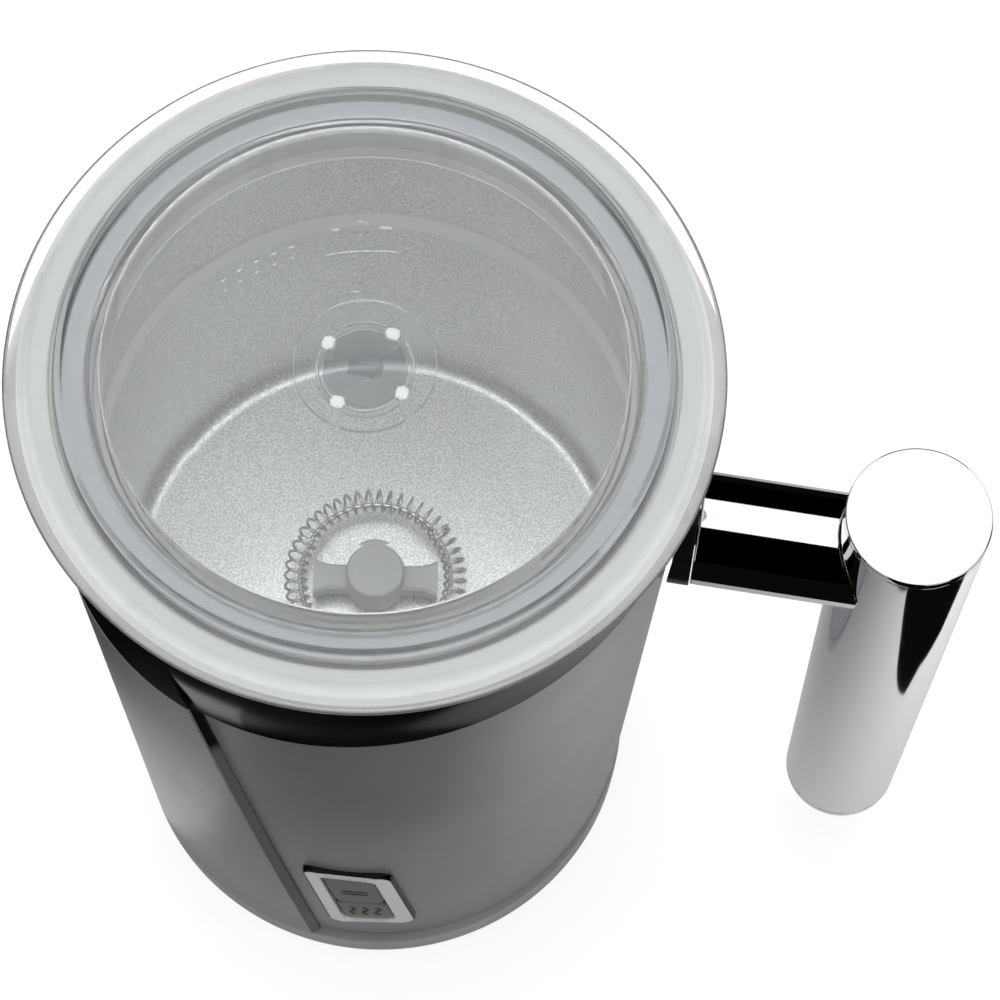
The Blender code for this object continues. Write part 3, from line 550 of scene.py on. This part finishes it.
def wrapped_sheet(name, bottom, top, thickness, recess_fade=None, rows=90, hole=None):
    """A sheet wrapped once round the jug from the seam, between two heights for each angle.

    recess_fade gives how much of the front recess it follows at a height above its lower edge.
    """
    shape = bmesh.new()
    grid = []
    columns = 320
    for column in range(columns + 1):
        turn = 360.0 * column / columns
        line = []
        for row in range(rows + 1):
            share = row / rows
            z = SEAM_Z
            angle = SEAM_ANGLE
            for _ in range(4):
                angle = seam_angle(z) + turn
                z = bottom(angle) + share * (top(angle) - bottom(angle))
            radius = shell_radius(angle, z, turn)
            if recess_fade is not None:
                keep = recess_fade(z - bottom(angle))
                radius = body_radius(z) + (radius - body_radius(z)) * keep
            line.append(shape.verts.new(polar(radius, angle, z)))
        grid.append(line)
    grid.append(grid[0])        # the last strip of faces is the step at the seam
    for left, right in zip(grid, grid[1:]):
        for row in range(rows):
            corners = (left[row], right[row], right[row + 1], left[row + 1])
            middle = sum((vertex.co for vertex in corners), Vector()) / 4
            if hole is None or not hole(middle):
                shape.faces.new(corners)
    made = mesh_object(name, shape)
    made.data.shade_smooth()
    solid = made.modifiers.new("thickness", "SOLIDIFY")
    solid.thickness = thickness * MM
    solid.offset = -1.0
    rounded = made.modifiers.new("edges", "BEVEL")
    rounded.width = 0.08 * MM
    rounded.segments = 2
    rounded.limit_method = "ANGLE"
    rounded.angle_limit = math.radians(50)
    rounded.harden_normals = True
    return made


def panel_frame():
    """Outward and sideways directions of the button panel."""
    turn = math.radians(PANEL_ANGLE)
    outward = Vector((math.cos(turn), math.sin(turn), 0.0))
    sideways = Vector((-math.sin(turn), math.cos(turn), 0.0))
    return outward, sideways


def in_button_opening(point):
    """True where the sleeve is cut away behind the bezel."""
    outward, sideways = panel_frame()
    local = point / MM - Vector((AXIS_X, 0.0, 0.0))
    up = local.z - PANEL_Z
    across = local.dot(sideways) + up * math.tan(PANEL_LEAN)
    half_wide = BEZEL_SIZE[0] / 2 - BEZEL_LAP
    half_high = BEZEL_SIZE[1] / 2 - BEZEL_LAP
    in_front = local.dot(outward) > 0.0
    return in_front and abs(up) < half_high and abs(across) < half_wide


def make_sleeve():
    """The wrapped steel sleeve."""
    made = wrapped_sheet("steel_sleeve", lambda angle: SLEEVE_BOTTOM_Z, sleeve_top, SLEEVE_SHEET,
                         hole=in_button_opening)
    place(made, STEEL, "jug", "sleeve_steel", "outer_sleeve")


def make_collar():
    """The glossy black collar above the sleeve's slanted edge."""
    def keep(above):
        share = min(1.0, max(0.0, above / COLLAR_FADE))
        return COLLAR_RECESS * (1.0 - share * share * (3.0 - 2.0 * share))

    made = wrapped_sheet("black_collar", lambda angle: sleeve_top(angle) + COLLAR_GAP,
                         lambda angle: COLLAR_TOP_Z, COLLAR_WALL, keep, rows=36)
    axis = world(0.0, 0.0, 0.0)
    inward = 0.05 * MM          # sets the collar a little below the sleeve's surface
    for vertex in made.data.vertices:
        flat = Vector((vertex.co.x, vertex.co.y, 0.0)) - axis
        flat *= 1.0 - inward / flat.length
        vertex.co.x = axis.x + flat.x
        vertex.co.y = flat.y
    place(made, BLACK, "jug", "collar_black", "top_collar")


def make_seam_strip():
    """The dark strip that lies on the front panel along the seam."""
    rings = []
    rows = 80
    foot = SLEEVE_BOTTOM_Z + 0.3
    low, high = SEAM_STRIP
    for row in range(rows + 1):
        share = row / rows
        z = SEAM_Z
        for _ in range(4):
            z = foot + share * (sleeve_top(seam_angle(z)) - foot)
        outer = body_radius(z) - 0.35
        edge = body_radius(z) - 1.35
        inner = body_radius(z) - 1.9
        section = [(low, inner), (low, outer), (low + 0.3, outer - 0.1), (high - 0.3, edge + 0.25),
                   (high, edge), (high, inner)]
        rings.append([polar(radius, seam_angle(z, offset), z) for offset, radius in section])
    made = skin("seam_cover_strip", rings)
    place(made, STRIP_GREY, "jug", "collar_black", "seam_strip")


def make_foot():
    """The foot ring with the ledge that shows below the recessed front panel."""
    top = FOOT_TOP_Z
    profile = soften([(body_radius(top), top, 0.5), (body_radius(0.0), 0.0, 0.6), (42.4, 0.0, 0.4),
                      (42.4, 3.8, 0.2), (31.0, 3.8, 0.3), (31.0, top, 0.3)])
    place(lathe("foot_band", profile), FOOT, "jug", "foot_grey", "foot_ring")


# ---- pot --------------------------------------------------
def make_pot():
    """The milk pot with its rolled rim, ridge and rounded floor corner."""
    rim = POT_RIM_Z
    profile = soften([
        (48.8, rim, 0.35), (48.8, rim - 1.0, 0.35), (44.6, rim - 1.0, 0.5), (44.3, RIDGE_HIGH_Z, 1.0),
        (POT_WALL_RADIUS + 1.0, RIDGE_LOW_Z, 1.0), (43.0, POT_FLOOR_Z - 1.0, 5.5),
        (0.0, POT_FLOOR_Z - 1.0, 0.0), (0.0, POT_FLOOR_Z, 0.0), (42.2, POT_FLOOR_Z, 2.6),
        (POT_WALL_RADIUS, RIDGE_LOW_Z, 1.0), (43.3, RIDGE_HIGH_Z, 1.0), (43.6, rim - 1.2, 1.0),
        (44.8, rim, 0.8)], steps=8)
    place(lathe("milk_pot", profile), POT, "jug", "pot_steel", "inner_pot")


def wall_rib(start, end, z, width, wave):
    """Rings of a raised hairline on the pot's wall between two angles; wave bows its middle up."""
    foot = POT_WALL_RADIUS + 0.1
    crest = POT_WALL_RADIUS - 0.22
    rings = []
    steps = max(6, int(abs(end - start) * 2))
    for step in range(steps + 1):
        share = step / steps
        angle = start + (end - start) * share
        height = z + wave * math.sin(math.pi * share)
        half = width / 2 * min(1.0, 0.2 + 6 * min(share, 1 - share))
        section = [(foot, height - half), (crest, height - half * 0.5),
                   (crest, height + half * 0.5), (foot, height + half)]
        rings.append([polar(radius, angle, level) for radius, level in section])
    return rings


def make_level_marks():
    """Plain raised level marks on the back wall: lines, arcs and dashes, and a row of short dashes."""
    marks = [                   # name, start and end angle, height, width, wave
        ("level_line_high", 93.5, 110.2, 120.3, 0.6, 0.0),
        ("level_dash_high_left", 106.6, 108.6, 129.1, 0.6, 0.0),
        ("level_dash_high_right", 95.0, 97.8, 129.1, 0.6, 0.0),
        ("level_arc_high_top", 100.0, 104.0, 130.4, 0.6, 1.0),
        ("level_arc_high_bottom", 100.2, 103.8, 127.6, 0.5, -1.0),
        ("level_line_low", 95.5, 105.7, 100.0, 0.5, 0.0),
        ("level_arc_low_top", 98.6, 103.4, 107.4, 0.45, 0.9),
        ("level_dash_low", 102.6, 105.4, 104.6, 0.45, 0.0)]
    for count in range(5):
        middle = 118.0 + 4.2 * count
        drop = 0.2 * count
        marks.append(("side_dash_%d" % (count + 1), middle - 0.8, middle + 0.8, 126.2 - drop, 0.5, 0.0))
        marks.append(("side_tick_%d" % (count + 1), middle - 0.6, middle + 0.6, 122.2 - drop, 0.4, 0.0))
    for name, start, end, z, width, wave in marks:
        place(skin(name, wall_rib(start, end, z, width, wave)), POT, "jug", "pot_steel")


def make_spindle():
    """The pin in the pot's floor that the whisk turns on."""
    profile = soften([(0.0, 82.6, 0.0), (1.5, 82.5, 0.6), (2.0, 81.6, 0.4), (2.0, 77.2, 0.3),
                      (3.2, 76.8, 0.3), (3.2, 76.3, 0.1), (0.0, 76.3, 0.0)], loop=False)
    pin = lathe("spindle_pin", profile, loop=False, steps=64)
    place(pin, CHROME, "jug", "mirror_chrome", "whisk_spindle")


# ---- whisk ------------------------------------------------
def make_whisk():
    """Hub with two flared arms, the ring rod and the closed wire coil."""
    profile = soften([(0.0, 84.4, 0.0), (4.9, 84.4, 0.6), (4.9, 77.0, 0.4), (3.5, 77.0, 0.2),
                      (3.5, 78.0, 0.2), (2.4, 78.0, 0.2), (2.4, 83.0, 0.2), (0.0, 83.0, 0.0)], loop=False)
    hub = lathe("whisk_hub_boss", profile, loop=False, steps=96)
    place(hub, HUB_GREY, "whisk", "plastic_black", "whisk_hub")
    along = Vector((math.cos(WHISK_TURN), math.sin(WHISK_TURN)))
    low = WHISK_Z - 2.2
    high = WHISK_Z + 0.9
    for side, name in ((1.0, "whisk_arm_right"), (-1.0, "whisk_arm_left")):
        rings = []
        for step in range(13):
            out = 4.0 + 6.5 * step / 12
            half = 2.3 + max(0.0, (out - 7.5) / 3.0) ** 1.5
            section = [(-half, low + 0.3), (-half, high - 0.5), (-half + 0.5, high), (half - 0.5, high),
                       (half, high - 0.5), (half, low + 0.3), (half - 0.3, low), (-half + 0.3, low)]
            ring = []
            for across, level in section:
                x = side * out * along.x - across * along.y
                y = side * out * along.y + across * along.x
                ring.append(world(x, y, level))
            rings.append(ring)
        place(skin(name, rings), HUB_GREY, "whisk", "plastic_black")
    rod = []
    for step in range(16):
        turn = -2 * math.pi * step / 16
        rod.append((ROD_RING_RADIUS + ROD_RADIUS * math.cos(turn), WHISK_Z + ROD_RADIUS * math.sin(turn)))
    place(lathe("whisk_rod_ring", rod, steps=160), WIRE, "whisk", "mirror_chrome", "whisk_ring")
    make_coil()


def make_coil():
    """The spring wire wound round the ring."""
    data = bpy.data.curves.new("whisk_wire_coil", "CURVE")
    data.dimensions = "3D"
    data.bevel_depth = COIL_WIRE_RADIUS * MM
    data.bevel_resolution = 3
    spline = data.splines.new("POLY")
    count = COIL_TURNS * COIL_STEPS
    spline.points.add(count - 1)
    for step, point in enumerate(spline.points):
        round_ring = 2 * math.pi * step / count
        round_turn = 2 * math.pi * step / COIL_STEPS
        radius = COIL_RING_RADIUS + COIL_TURN_RADIUS * math.cos(round_turn)
        height = WHISK_Z - COIL_TURN_RADIUS * math.sin(round_turn)
        spot = world(radius * math.cos(round_ring), radius * math.sin(round_ring), height)
        point.co = (*spot, 1.0)
    spline.use_cyclic_u = True
    place(add_object("whisk_wire_coil", data), WIRE, "whisk", "mirror_chrome", "whisk_coil")


# ---- lid --------------------------------------------------
def make_lid():
    """The clear lid with its bevelled rim and plug wall, its seal and the spare-whisk clip."""
    edge = LID_EDGE_Z
    profile = soften([
        (0.0, 172.4, 0.0), (30.0, 172.3, 8.0), (46.0, 172.0, 0.5), (46.9, 170.9, 0.4), (50.6, 170.7, 0.8),
        (54.3, 168.7, 0.8), (LID_RADIUS, edge, 0.25), (54.6, edge - 0.7, 0.3), (42.4, edge - 0.8, 0.3),
        (41.7, edge - 1.6, 0.6), (41.5, 158.0, 0.3), (40.3, 158.0, 0.3), (40.2, 169.9, 0.25),
        (0.0, 169.9, 0.0)], loop=False, steps=6)
    place(lathe("clear_lid", profile, loop=False), CLEAR, "lid_unit", "clear_plastic", "lid")
    seal = soften([(52.1, 166.9, 0.4), (52.1, 165.3, 0.4), (43.3, 165.3, 0.5), (43.1, 160.2, 0.3),
                   (42.1, 160.2, 0.3), (42.1, 165.2, 0.3), (42.8, 165.9, 0.3), (46.4, 165.9, 0.2),
                   (46.6, 165.5, 0.1), (47.8, 165.5, 0.1), (48.0, 166.9, 0.3)])
    place(lathe("silicone_seal", seal), SILICONE, "lid_unit", "silicone", "lid_seal")
    clip = soften([(10.9, 169.5, 0.2), (10.9, 168.5, 0.2), (7.5, 168.5, 0.1), (7.5, 166.2, 0.1),
                   (7.1, 166.2, 0.1), (7.1, 168.5, 0.1), (2.4, 168.5, 0.2), (2.4, 169.5, 0.2)])
    made = lathe("spare_whisk_clip", clip, steps=SMALL)
    place(made, CLIP_CLEAR, "lid_unit", "clear_plastic", "whisk_clip")
    socket = soften([(6.5, 168.3, 0.2), (6.5, 167.5, 0.2), (0.0, 167.5, 0.0), (0.0, 168.3, 0.0)])
    place(lathe("clip_socket", socket, steps=SMALL), SMOKY_CLEAR, "lid_unit", "clear_plastic")
    slot = []
    for level in (167.3, 167.0):
        corners = ((-2.6, -0.9), (2.6, -0.9), (2.6, 1.3), (-2.6, 1.3))
        slot.append([world(across, deep, level) for across, deep in corners])
    place(skin("clip_slot", slot), SMOKY_CLEAR, "lid_unit", "clear_plastic")
    for count in range(4):
        make_prong(count)


def make_prong(count):
    """One frosted prong of the spare-whisk clip."""
    turn = math.radians(63.0 + 90.0 * count)
    rings = []
    for level, half in ((168.45, 0.6), (168.2, 1.2), (167.4, 1.35), (166.6, 1.2), (165.6, 0.9),
                        (163.3, 0.8), (163.0, 0.5)):
        ring = []
        for step in range(8):
            side = math.radians(45.0 * step + 22.5)
            out = PRONG_RADIUS + half * math.cos(side) * (1.0 if step % 2 else 0.85)
            across = half * math.sin(side)
            x = out * math.cos(turn) - across * math.sin(turn)
            y = out * math.sin(turn) + across * math.cos(turn)
            ring.append(world(x, y, level))
        rings.append(ring)
    made = skin("clip_prong_%d" % (count + 1), rings)
    place(made, FROSTED, "lid_unit", "clear_plastic")


# ---- button panel -----------------------------------------
def panel_point(across, up, out):
    """A point over the front panel: sideways and up from the panel's centre, out from its surface."""
    outward, sideways = panel_frame()
    z = PANEL_Z + up
    turn = math.radians(RECESS_ANGLE + 180.0)
    shift = Vector((math.cos(turn), math.sin(turn), 0.0)) * RECESS_DEPTH
    reach = body_radius(z) + out
    depth = shift.dot(outward) + math.sqrt(reach ** 2 - (across - shift.dot(sideways)) ** 2)
    spot = outward * depth + sideways * across
    return world(spot.x, spot.y, z)


def leaning_outline(width, low, high, corner, inset, shift=0.0):
    """A rounded outline with leaning sides, moved inwards by inset and sideways by shift."""
    half = width / 2 - inset
    low += inset
    high -= inset
    corner = max(0.25, corner - inset)
    steps = 6
    points = []
    corners = [(half - corner, high - corner, 0.0), (corner - half, high - corner, 90.0),
               (corner - half, low + corner, 180.0), (half - corner, low + corner, 270.0)]
    for across, up, start in corners:
        for step in range(steps + 1):
            angle = math.radians(start + step * 90.0 / steps)
            x = across + corner * math.cos(angle)
            y = up + corner * math.sin(angle)
            points.append((x - y * math.tan(PANEL_LEAN) + shift, y))
    return points


def panel_ring(outline, out):
    """A ring of points over the panel at one height from its surface."""
    return [panel_point(across, up, out) for across, up in outline]


def make_bezel():
    """The chrome frame round the buttons, and a dark band of painted shade round its edge for the gap's
    shadow and its side wall's dark reflection.
    """
    wide, high = BEZEL_SIZE
    window_wide, window_high = WINDOW_SIZE
    rings = []
    for inset, out in ((0.36, -0.6), (0.36, 1.1), (0.45, 1.16), (0.6, BEZEL_PROUD)):
        rings.append(panel_ring(leaning_outline(wide, -high / 2, high / 2, BEZEL_CORNER, inset), out))
    for inset, out in ((-0.35, BEZEL_PROUD), (-0.1, 1.05), (0.0, 0.8), (0.0, -2.3), (-0.9, -2.3)):
        outline = leaning_outline(window_wide, -window_high / 2, window_high / 2, WINDOW_CORNER, inset,
                                  WINDOW_SHIFT)
        rings.append(panel_ring(outline, out))
    made = skin("chrome_bezel", rings, loop_rings=True, smooth_angle=60.0)
    place(made, BEZEL, "jug", "bezel_chrome", "button_bezel")
    # The dark band of painted shade round the bezel's edge.
    rings = []
    for inset, out in ((0.0, -0.6), (0.0, 0.85), (0.12, 1.05), (0.3, 1.08), (0.34, 1.0), (0.34, -0.6)):
        rings.append(panel_ring(leaning_outline(wide, -high / 2, high / 2, BEZEL_CORNER, inset), out))
    made = skin("bezel_edge_painted_shade_band", rings, loop_rings=True, smooth_angle=60.0)
    place(made, EDGE_PAINTED_SHADE, "jug", "bezel_chrome")


def make_button(name, low, high, body, node):
    """One button cap with rounded edges."""
    rings = []
    levels = ((0.0, -2.7), (0.0, 0.25), (0.12, 0.52), (0.4, BUTTON_PROUD - 0.02), (1.2, BUTTON_PROUD),
              (2.2, BUTTON_PROUD), (3.2, BUTTON_PROUD))
    for inset, out in levels:
        outline = leaning_outline(WINDOW_SIZE[0] - 2 * BUTTON_GAP, low, high, BUTTON_CORNER, inset,
                                  WINDOW_SHIFT)
        rings.append(panel_ring(outline, out))
    made = skin(name, rings, smooth_angle=60.0)
    place(made, KEY_GREY, body, "button_grey", node)


def ribbon(name, points, width, out, body):
    """A thin raised line on a button through panel points."""
    rings = []
    for number, (across, up) in enumerate(points):
        before = points[max(0, number - 1)]
        after = points[min(len(points) - 1, number + 1)]
        direction = Vector((after[0] - before[0], after[1] - before[1])).normalized()
        side = Vector((-direction.y, direction.x)) * width / 2
        ring = []
        for sign, lift in ((-1.0, -0.1), (-1.0, 0.06), (1.0, 0.06), (1.0, -0.1)):
            ring.append(panel_point(across + side.x * sign, up + side.y * sign, out + lift))
        rings.append(ring)
    place(skin(name, rings), KEY_MARK, body, "button_grey")


def make_buttons():
    """Two buttons, with three steam waves on the lower and two plain bars on the upper."""
    edge = WINDOW_SIZE[1] / 2 - BUTTON_GAP
    split = BUTTON_SPLIT_Z - PANEL_Z
    make_button("froth_button", split + BUTTON_GAP / 2, edge, "upper_key", "upper_button")
    make_button("steam_button", -edge, split - BUTTON_GAP / 2, "lower_key", "lower_button")
    middle = (split - edge) / 2
    for count in range(3):
        points = []
        for step in range(17):
            share = step / 16
            up = middle + 2.6 - 5.2 * share
            across = (count - 1) * 2.3 + 0.55 * math.sin(2 * math.pi * share)
            points.append((across - up * math.tan(PANEL_LEAN) + WINDOW_SHIFT, up))
        ribbon("steam_wave_%d" % (count + 1), points, 0.55, BUTTON_PROUD, "lower_key")
    middle = (split + edge) / 2 - 1.5
    for name, lift in (("plain_bar_upper", 0.9), ("plain_bar_lower", -0.9)):
        up = middle + lift
        centre = WINDOW_SHIFT - up * math.tan(PANEL_LEAN)
        points = [(centre + across, up) for across in (-2.4, -1.2, 0.0, 1.2, 2.4)]
        ribbon(name, points, 0.5, BUTTON_PROUD, "upper_key")


# ---- handle -----------------------------------------------
def arm_tube(name, radius, start, end):
    """A tube along +X with softened ends, between two surfaces that give x for each y and z."""
    steps = 96
    columns = 24
    edge = 0.35
    tip = [(0.0, edge), (0.0, edge * 0.3), (edge * 0.3, 0.0)]
    plan = [(0.0, inset, drop) for inset, drop in tip]
    plan += [(column / columns, edge, 0.0) for column in range(columns + 1)]
    plan += [(1.0, inset, drop) for inset, drop in reversed(tip)]
    rings = []
    for share, inset, drop in plan:
        ring = []
        for step in range(steps):
            turn = 2 * math.pi * step / steps
            y = (radius - drop) * math.cos(turn)
            z = ARM_Z + (radius - drop) * math.sin(turn)
            first = start(y, z) + inset
            last = end(y, z) - inset
            ring.append(world(first + (last - first) * share, y, z))
        rings.append(ring)
    return skin(name, rings, smooth_angle=50.0)


def handle_radius(z):
    """Radius of the handle at height z."""
    share = (z - HANDLE_BOTTOM_Z) / (HANDLE_TOP_Z - HANDLE_BOTTOM_Z)
    return HANDLE_BOTTOM_RADIUS + share * (HANDLE_TOP_RADIUS - HANDLE_BOTTOM_RADIUS)


def make_handle():
    """Ferrule, chrome arm, tapered grip and its flat caps."""
    def body_side(y, z):
        return math.sqrt((body_radius(z) + 0.3) ** 2 - y ** 2)

    def grip_side(y, z):
        return HANDLE_X - math.sqrt((handle_radius(z) + 0.15) ** 2 - y ** 2)

    ferrule = arm_tube("black_ferrule", ARM_RADIUS + 0.35, body_side, lambda y, z: FERRULE_END_X)
    place(ferrule, BLACK, "jug", "collar_black", "arm_ferrule")
    arm = arm_tube("chrome_arm", ARM_RADIUS, lambda y, z: FERRULE_END_X + 0.2, grip_side)
    place(arm, CHROME, "jug", "mirror_chrome", "handle_arm")
    low = HANDLE_BOTTOM_Z + HANDLE_CAP
    high = HANDLE_TOP_Z - HANDLE_CAP
    wall = HANDLE_WALL
    centre = (HANDLE_X, 0.0)
    profile = soften([(handle_radius(high), high, 0.12), (handle_radius(low), low, 0.12),
                      (handle_radius(low) - wall, low, 0.12), (handle_radius(high) - wall, high, 0.12)])
    grip = lathe("chrome_grip", profile, steps=MEDIUM, centre=centre)
    place(grip, CHROME, "jug", "mirror_chrome", "handle_grip")
    high += CAP_GAP
    profile = soften([(0.0, HANDLE_TOP_Z, 0.0), (HANDLE_TOP_RADIUS, HANDLE_TOP_Z, 0.3),
                      (handle_radius(high), high, 0.1), (0.0, high, 0.0)], loop=False)
    top = lathe("grip_top_cap", profile, loop=False, steps=MEDIUM, centre=centre)
    place(top, CHROME, "jug", "mirror_chrome", "handle_top_cap")
    low -= CAP_GAP
    profile = soften([(0.0, low, 0.0), (handle_radius(low), low, 0.1),
                      (HANDLE_BOTTOM_RADIUS, HANDLE_BOTTOM_Z, 0.5), (0.0, HANDLE_BOTTOM_Z, 0.0)], loop=False)
    bottom = lathe("grip_bottom_cap", profile, loop=False, steps=MEDIUM, centre=centre)
    place(bottom, CHROME, "jug", "mirror_chrome", "handle_bottom_cap")


# ---- pieces kept from the frame ---------------------------
KEPT = {
    "pot_gasket": SILICONE, "heating_ring": ZINC, "temperature_sensor": COPPER, "thermal_cutout": MATT_BLACK,
    "motor_bracket": ZINC, "motor_case": ZINC, "motor_shaft": CHROME, "magnet_carrier": MATT_BLACK,
    "drive_magnet_1": MAGNET, "drive_magnet_2": MAGNET, "whisk_magnet_1": MAGNET, "whisk_magnet_2": MAGNET,
    "control_board": BOARD, "switch_board": BOARD, "upper_switch": MATT_BLACK, "lower_switch": MATT_BLACK,
    "base_plate": MATT_BLACK, "power_connector": MATT_BLACK, "base_screw_1": ZINC, "base_screw_2": ZINC,
    "base_screw_3": ZINC, "arm_stud": ZINC, "arm_nut": ZINC}


def finish_kept_nodes():
    """Give each node that keeps its frame shape a material of its own."""
    for name, finish in KEPT.items():
        node = frame["nodes"][name]
        node.data.materials.clear()
        node.data.materials.append(finish)


# ---- stage, in metres from the frame's centre -------------
FLOOR_Z = -0.0002
FLOOR_GLOW_Z = -0.0001
# Outlines of the light that the floor throws up, in mm. Mirrored in the steel and the chrome,
# their edges give the bright and dark streaks down the sleeve and the handle.
LEFT_PATCH = ((-87, 0), (-87, -25), (-82, -42), (-71, -55), (-60, -62), (-60, 200), (-87, 200))
NEAR_PATCH = soften(((-60, -62, 0), (20, -63, 0), (72, -63, 0), (84, -50, 50), (99, -20, 0),
                     (99, 200, 0), (-60, 200, 0)))
SIDE_PATCH = ((99, -20), (107, -15), (116, 0), (150, 25), (220, 80), (220, 200), (99, 200))
CARDS = (                       # name, centre, width and height, strength, facing
    ("far_floor_glow", (0.0, 0.0, -0.0003), (3.0, 3.0), 0.003, (0, 0, 1)),
    ("top_softbox", (0.0, 0.148, 0.75), (0.75, 0.75), 1.2, (0, 0, -1)),
    ("left_softbox", (-0.70, -0.15, 0.42), (0.55, 0.80), 0.9, (0.70, 0.15, -0.05)),
    ("right_softbox", (0.70, -0.15, 0.42), (0.45, 0.80), 0.8, (-0.70, 0.15, -0.05)),
    ("back_left_softbox", (-0.45, 0.60, 0.42), (0.55, 0.80), 0.9, (0.45, -0.60, -0.05)),
    ("back_right_softbox", (0.55, 0.50, 0.42), (0.50, 0.80), 0.9, (-0.55, -0.50, -0.05)),
    ("front_left_softbox", (-0.40, -0.62, 0.42), (0.40, 0.80), 0.7, (0.30, 0.62, -0.05)),
    ("front_right_softbox", (0.45, -0.60, 0.42), (0.35, 0.80), 0.7, (-0.45, 0.60, -0.05)))


def card(name, centre, size, strength, facing):
    """A rectangular glow."""
    wide = size[0] / 2
    high = size[1] / 2
    outline = [(-wide, -high), (wide, -high), (wide, high), (-wide, high)]
    glow(name, outline, centre, strength, facing)


def floor_patch(name, outline, strength, fade=None):
    """A glow on the floor, with its outline and its fade's two places in mm."""
    points = [(across * MM, up * MM) for across, up in outline]
    if fade is not None:
        fade = (fade[0] * MM, fade[1] * MM, fade[2], fade[3])
    glow(name, points, (0.0, 0.0, FLOOR_GLOW_Z), strength, fade=fade)


def facing_turn(facing):
    """The rotation that turns a flat outline's +Z to a direction and keeps its X level."""
    ahead = Vector(facing).normalized()
    level = Vector((1.0, 0.0, 0.0)) if abs(ahead.z) > 0.9 else Vector((0.0, 0.0, 1.0)).cross(ahead)
    level = (level - ahead * level.dot(ahead)).normalized()
    return Matrix((level, ahead.cross(level), ahead)).transposed().to_4x4()


def glow(name, outline, centre, strength, facing=(0.0, 0.0, 1.0), fade=None):
    """A flat glowing outline that only glossy reflections see.

    fade gives two places along its own x and the strengths there, in place of strength.
    """
    shape = bmesh.new()
    shape.faces.new([shape.verts.new((across, up, 0.0)) for across, up in outline])
    made = mesh_object(name, shape)
    made.matrix_world = Matrix.Translation(centre) @ facing_turn(facing)
    finish = bpy.data.materials.new(name + "_glow")
    finish.use_nodes = True
    nodes = finish.node_tree.nodes
    nodes.clear()
    source = nodes.new("ShaderNodeEmission")
    source.inputs["Strength"].default_value = strength
    output = nodes.new("ShaderNodeOutputMaterial")
    finish.node_tree.links.new(source.outputs["Emission"], output.inputs["Surface"])
    if fade is not None:
        spot = nodes.new("ShaderNodeTexCoord")
        parts = nodes.new("ShaderNodeSeparateXYZ")
        finish.node_tree.links.new(spot.outputs["Object"], parts.inputs["Vector"])
        along = spread(finish, parts.outputs["X"], fade[2], fade[3], fade[0], fade[1])
        finish.node_tree.links.new(along, source.inputs["Strength"])
    made.data.materials.append(finish)
    made.visible_camera = False
    made.visible_diffuse = False
    made.visible_shadow = False
    made.visible_transmission = False


def make_floor():
    """The plain pale floor, bright enough to be close to white."""
    shape = bmesh.new()
    bmesh.ops.create_grid(shape, x_segments=1, y_segments=1, size=3.0)
    floor = mesh_object("floor", shape)
    floor.location.z = FLOOR_Z
    finish, shader = new_finish("pale_floor", (0.26, 0.26, 0.26), 0.8)
    grain = add_noise(finish, 400.0, 2.0)
    tone = mix_colour(finish, grain, (0.25, 0.25, 0.25), (0.27, 0.27, 0.27))
    finish.node_tree.links.new(tone, shader.inputs["Base Color"])
    shader.inputs["Emission Color"].default_value = (1.0, 1.0, 1.0, 1.0)
    shader.inputs["Emission Strength"].default_value = 0.75
    floor.data.materials.append(finish)
    floor.visible_glossy = False


def make_stage():
    """Floor, a bright room for matt surfaces, a lamp, and glows that the metal reflects."""
    make_floor()
    scene = bpy.context.scene
    room = bpy.data.worlds.new("pale_room")
    scene.world = room
    room.use_nodes = True
    background = room.node_tree.nodes["Background"]
    background.inputs["Color"].default_value = (1.0, 1.0, 1.0, 1.0)
    background.inputs["Strength"].default_value = 1.0
    room.cycles_visibility.glossy = False
    scene.view_settings.view_transform = "Standard"

    floor_patch("left_floor_glow", LEFT_PATCH, 0.65)
    floor_patch("near_floor_glow", NEAR_PATCH, 1.0, fade=(12, 99, 0.22, 0.72))
    floor_patch("side_floor_glow", SIDE_PATCH, 1.0, fade=(99, 130, 0.72, 0.95))
    for name, centre, size, strength, facing in CARDS:
        card(name, centre, size, strength, facing)

    lamp_data = bpy.data.lights.new("overhead_light", "AREA")
    lamp_data.shape = "RECTANGLE"
    lamp_data.size = 0.8
    lamp_data.size_y = 0.8
    lamp_data.energy = 5.5
    lamp = add_object("overhead_light", lamp_data)
    centre = Vector((-0.05, 0.20, 0.93))
    lamp.matrix_world = Matrix.Translation(centre) @ facing_turn(centre)
    lamp.visible_glossy = False


def make_camera():
    """The camera at the photograph's viewing angle."""
    right = Vector((math.cos(CAMERA_AZIMUTH), math.sin(CAMERA_AZIMUTH), 0.0))
    back = Vector((0.0, 0.0, math.sin(CAMERA_ELEVATION)))
    back += Vector((right.y, -right.x, 0.0)) * math.cos(CAMERA_ELEVATION)
    up = back.cross(right)
    across = right * math.cos(CAMERA_ROLL) + up * math.sin(CAMERA_ROLL)
    above = up * math.cos(CAMERA_ROLL) - right * math.sin(CAMERA_ROLL)
    data = bpy.data.cameras.new("camera")
    data.lens = CAMERA_LENS
    data.sensor_width = 36.0
    data.clip_start = 0.01
    camera = add_object("camera", data)
    turn = Matrix((across, above, back)).transposed().to_4x4()
    camera.matrix_world = Matrix.Translation(world(*CAMERA_PLACE)) @ turn
    bpy.context.scene.camera = camera


make_camera()
make_stage()
make_sleeve()
make_collar()
make_seam_strip()
make_foot()
make_pot()
make_level_marks()
make_spindle()
make_whisk()
make_bezel()
make_buttons()
make_handle()
make_lid()
finish_kept_nodes()
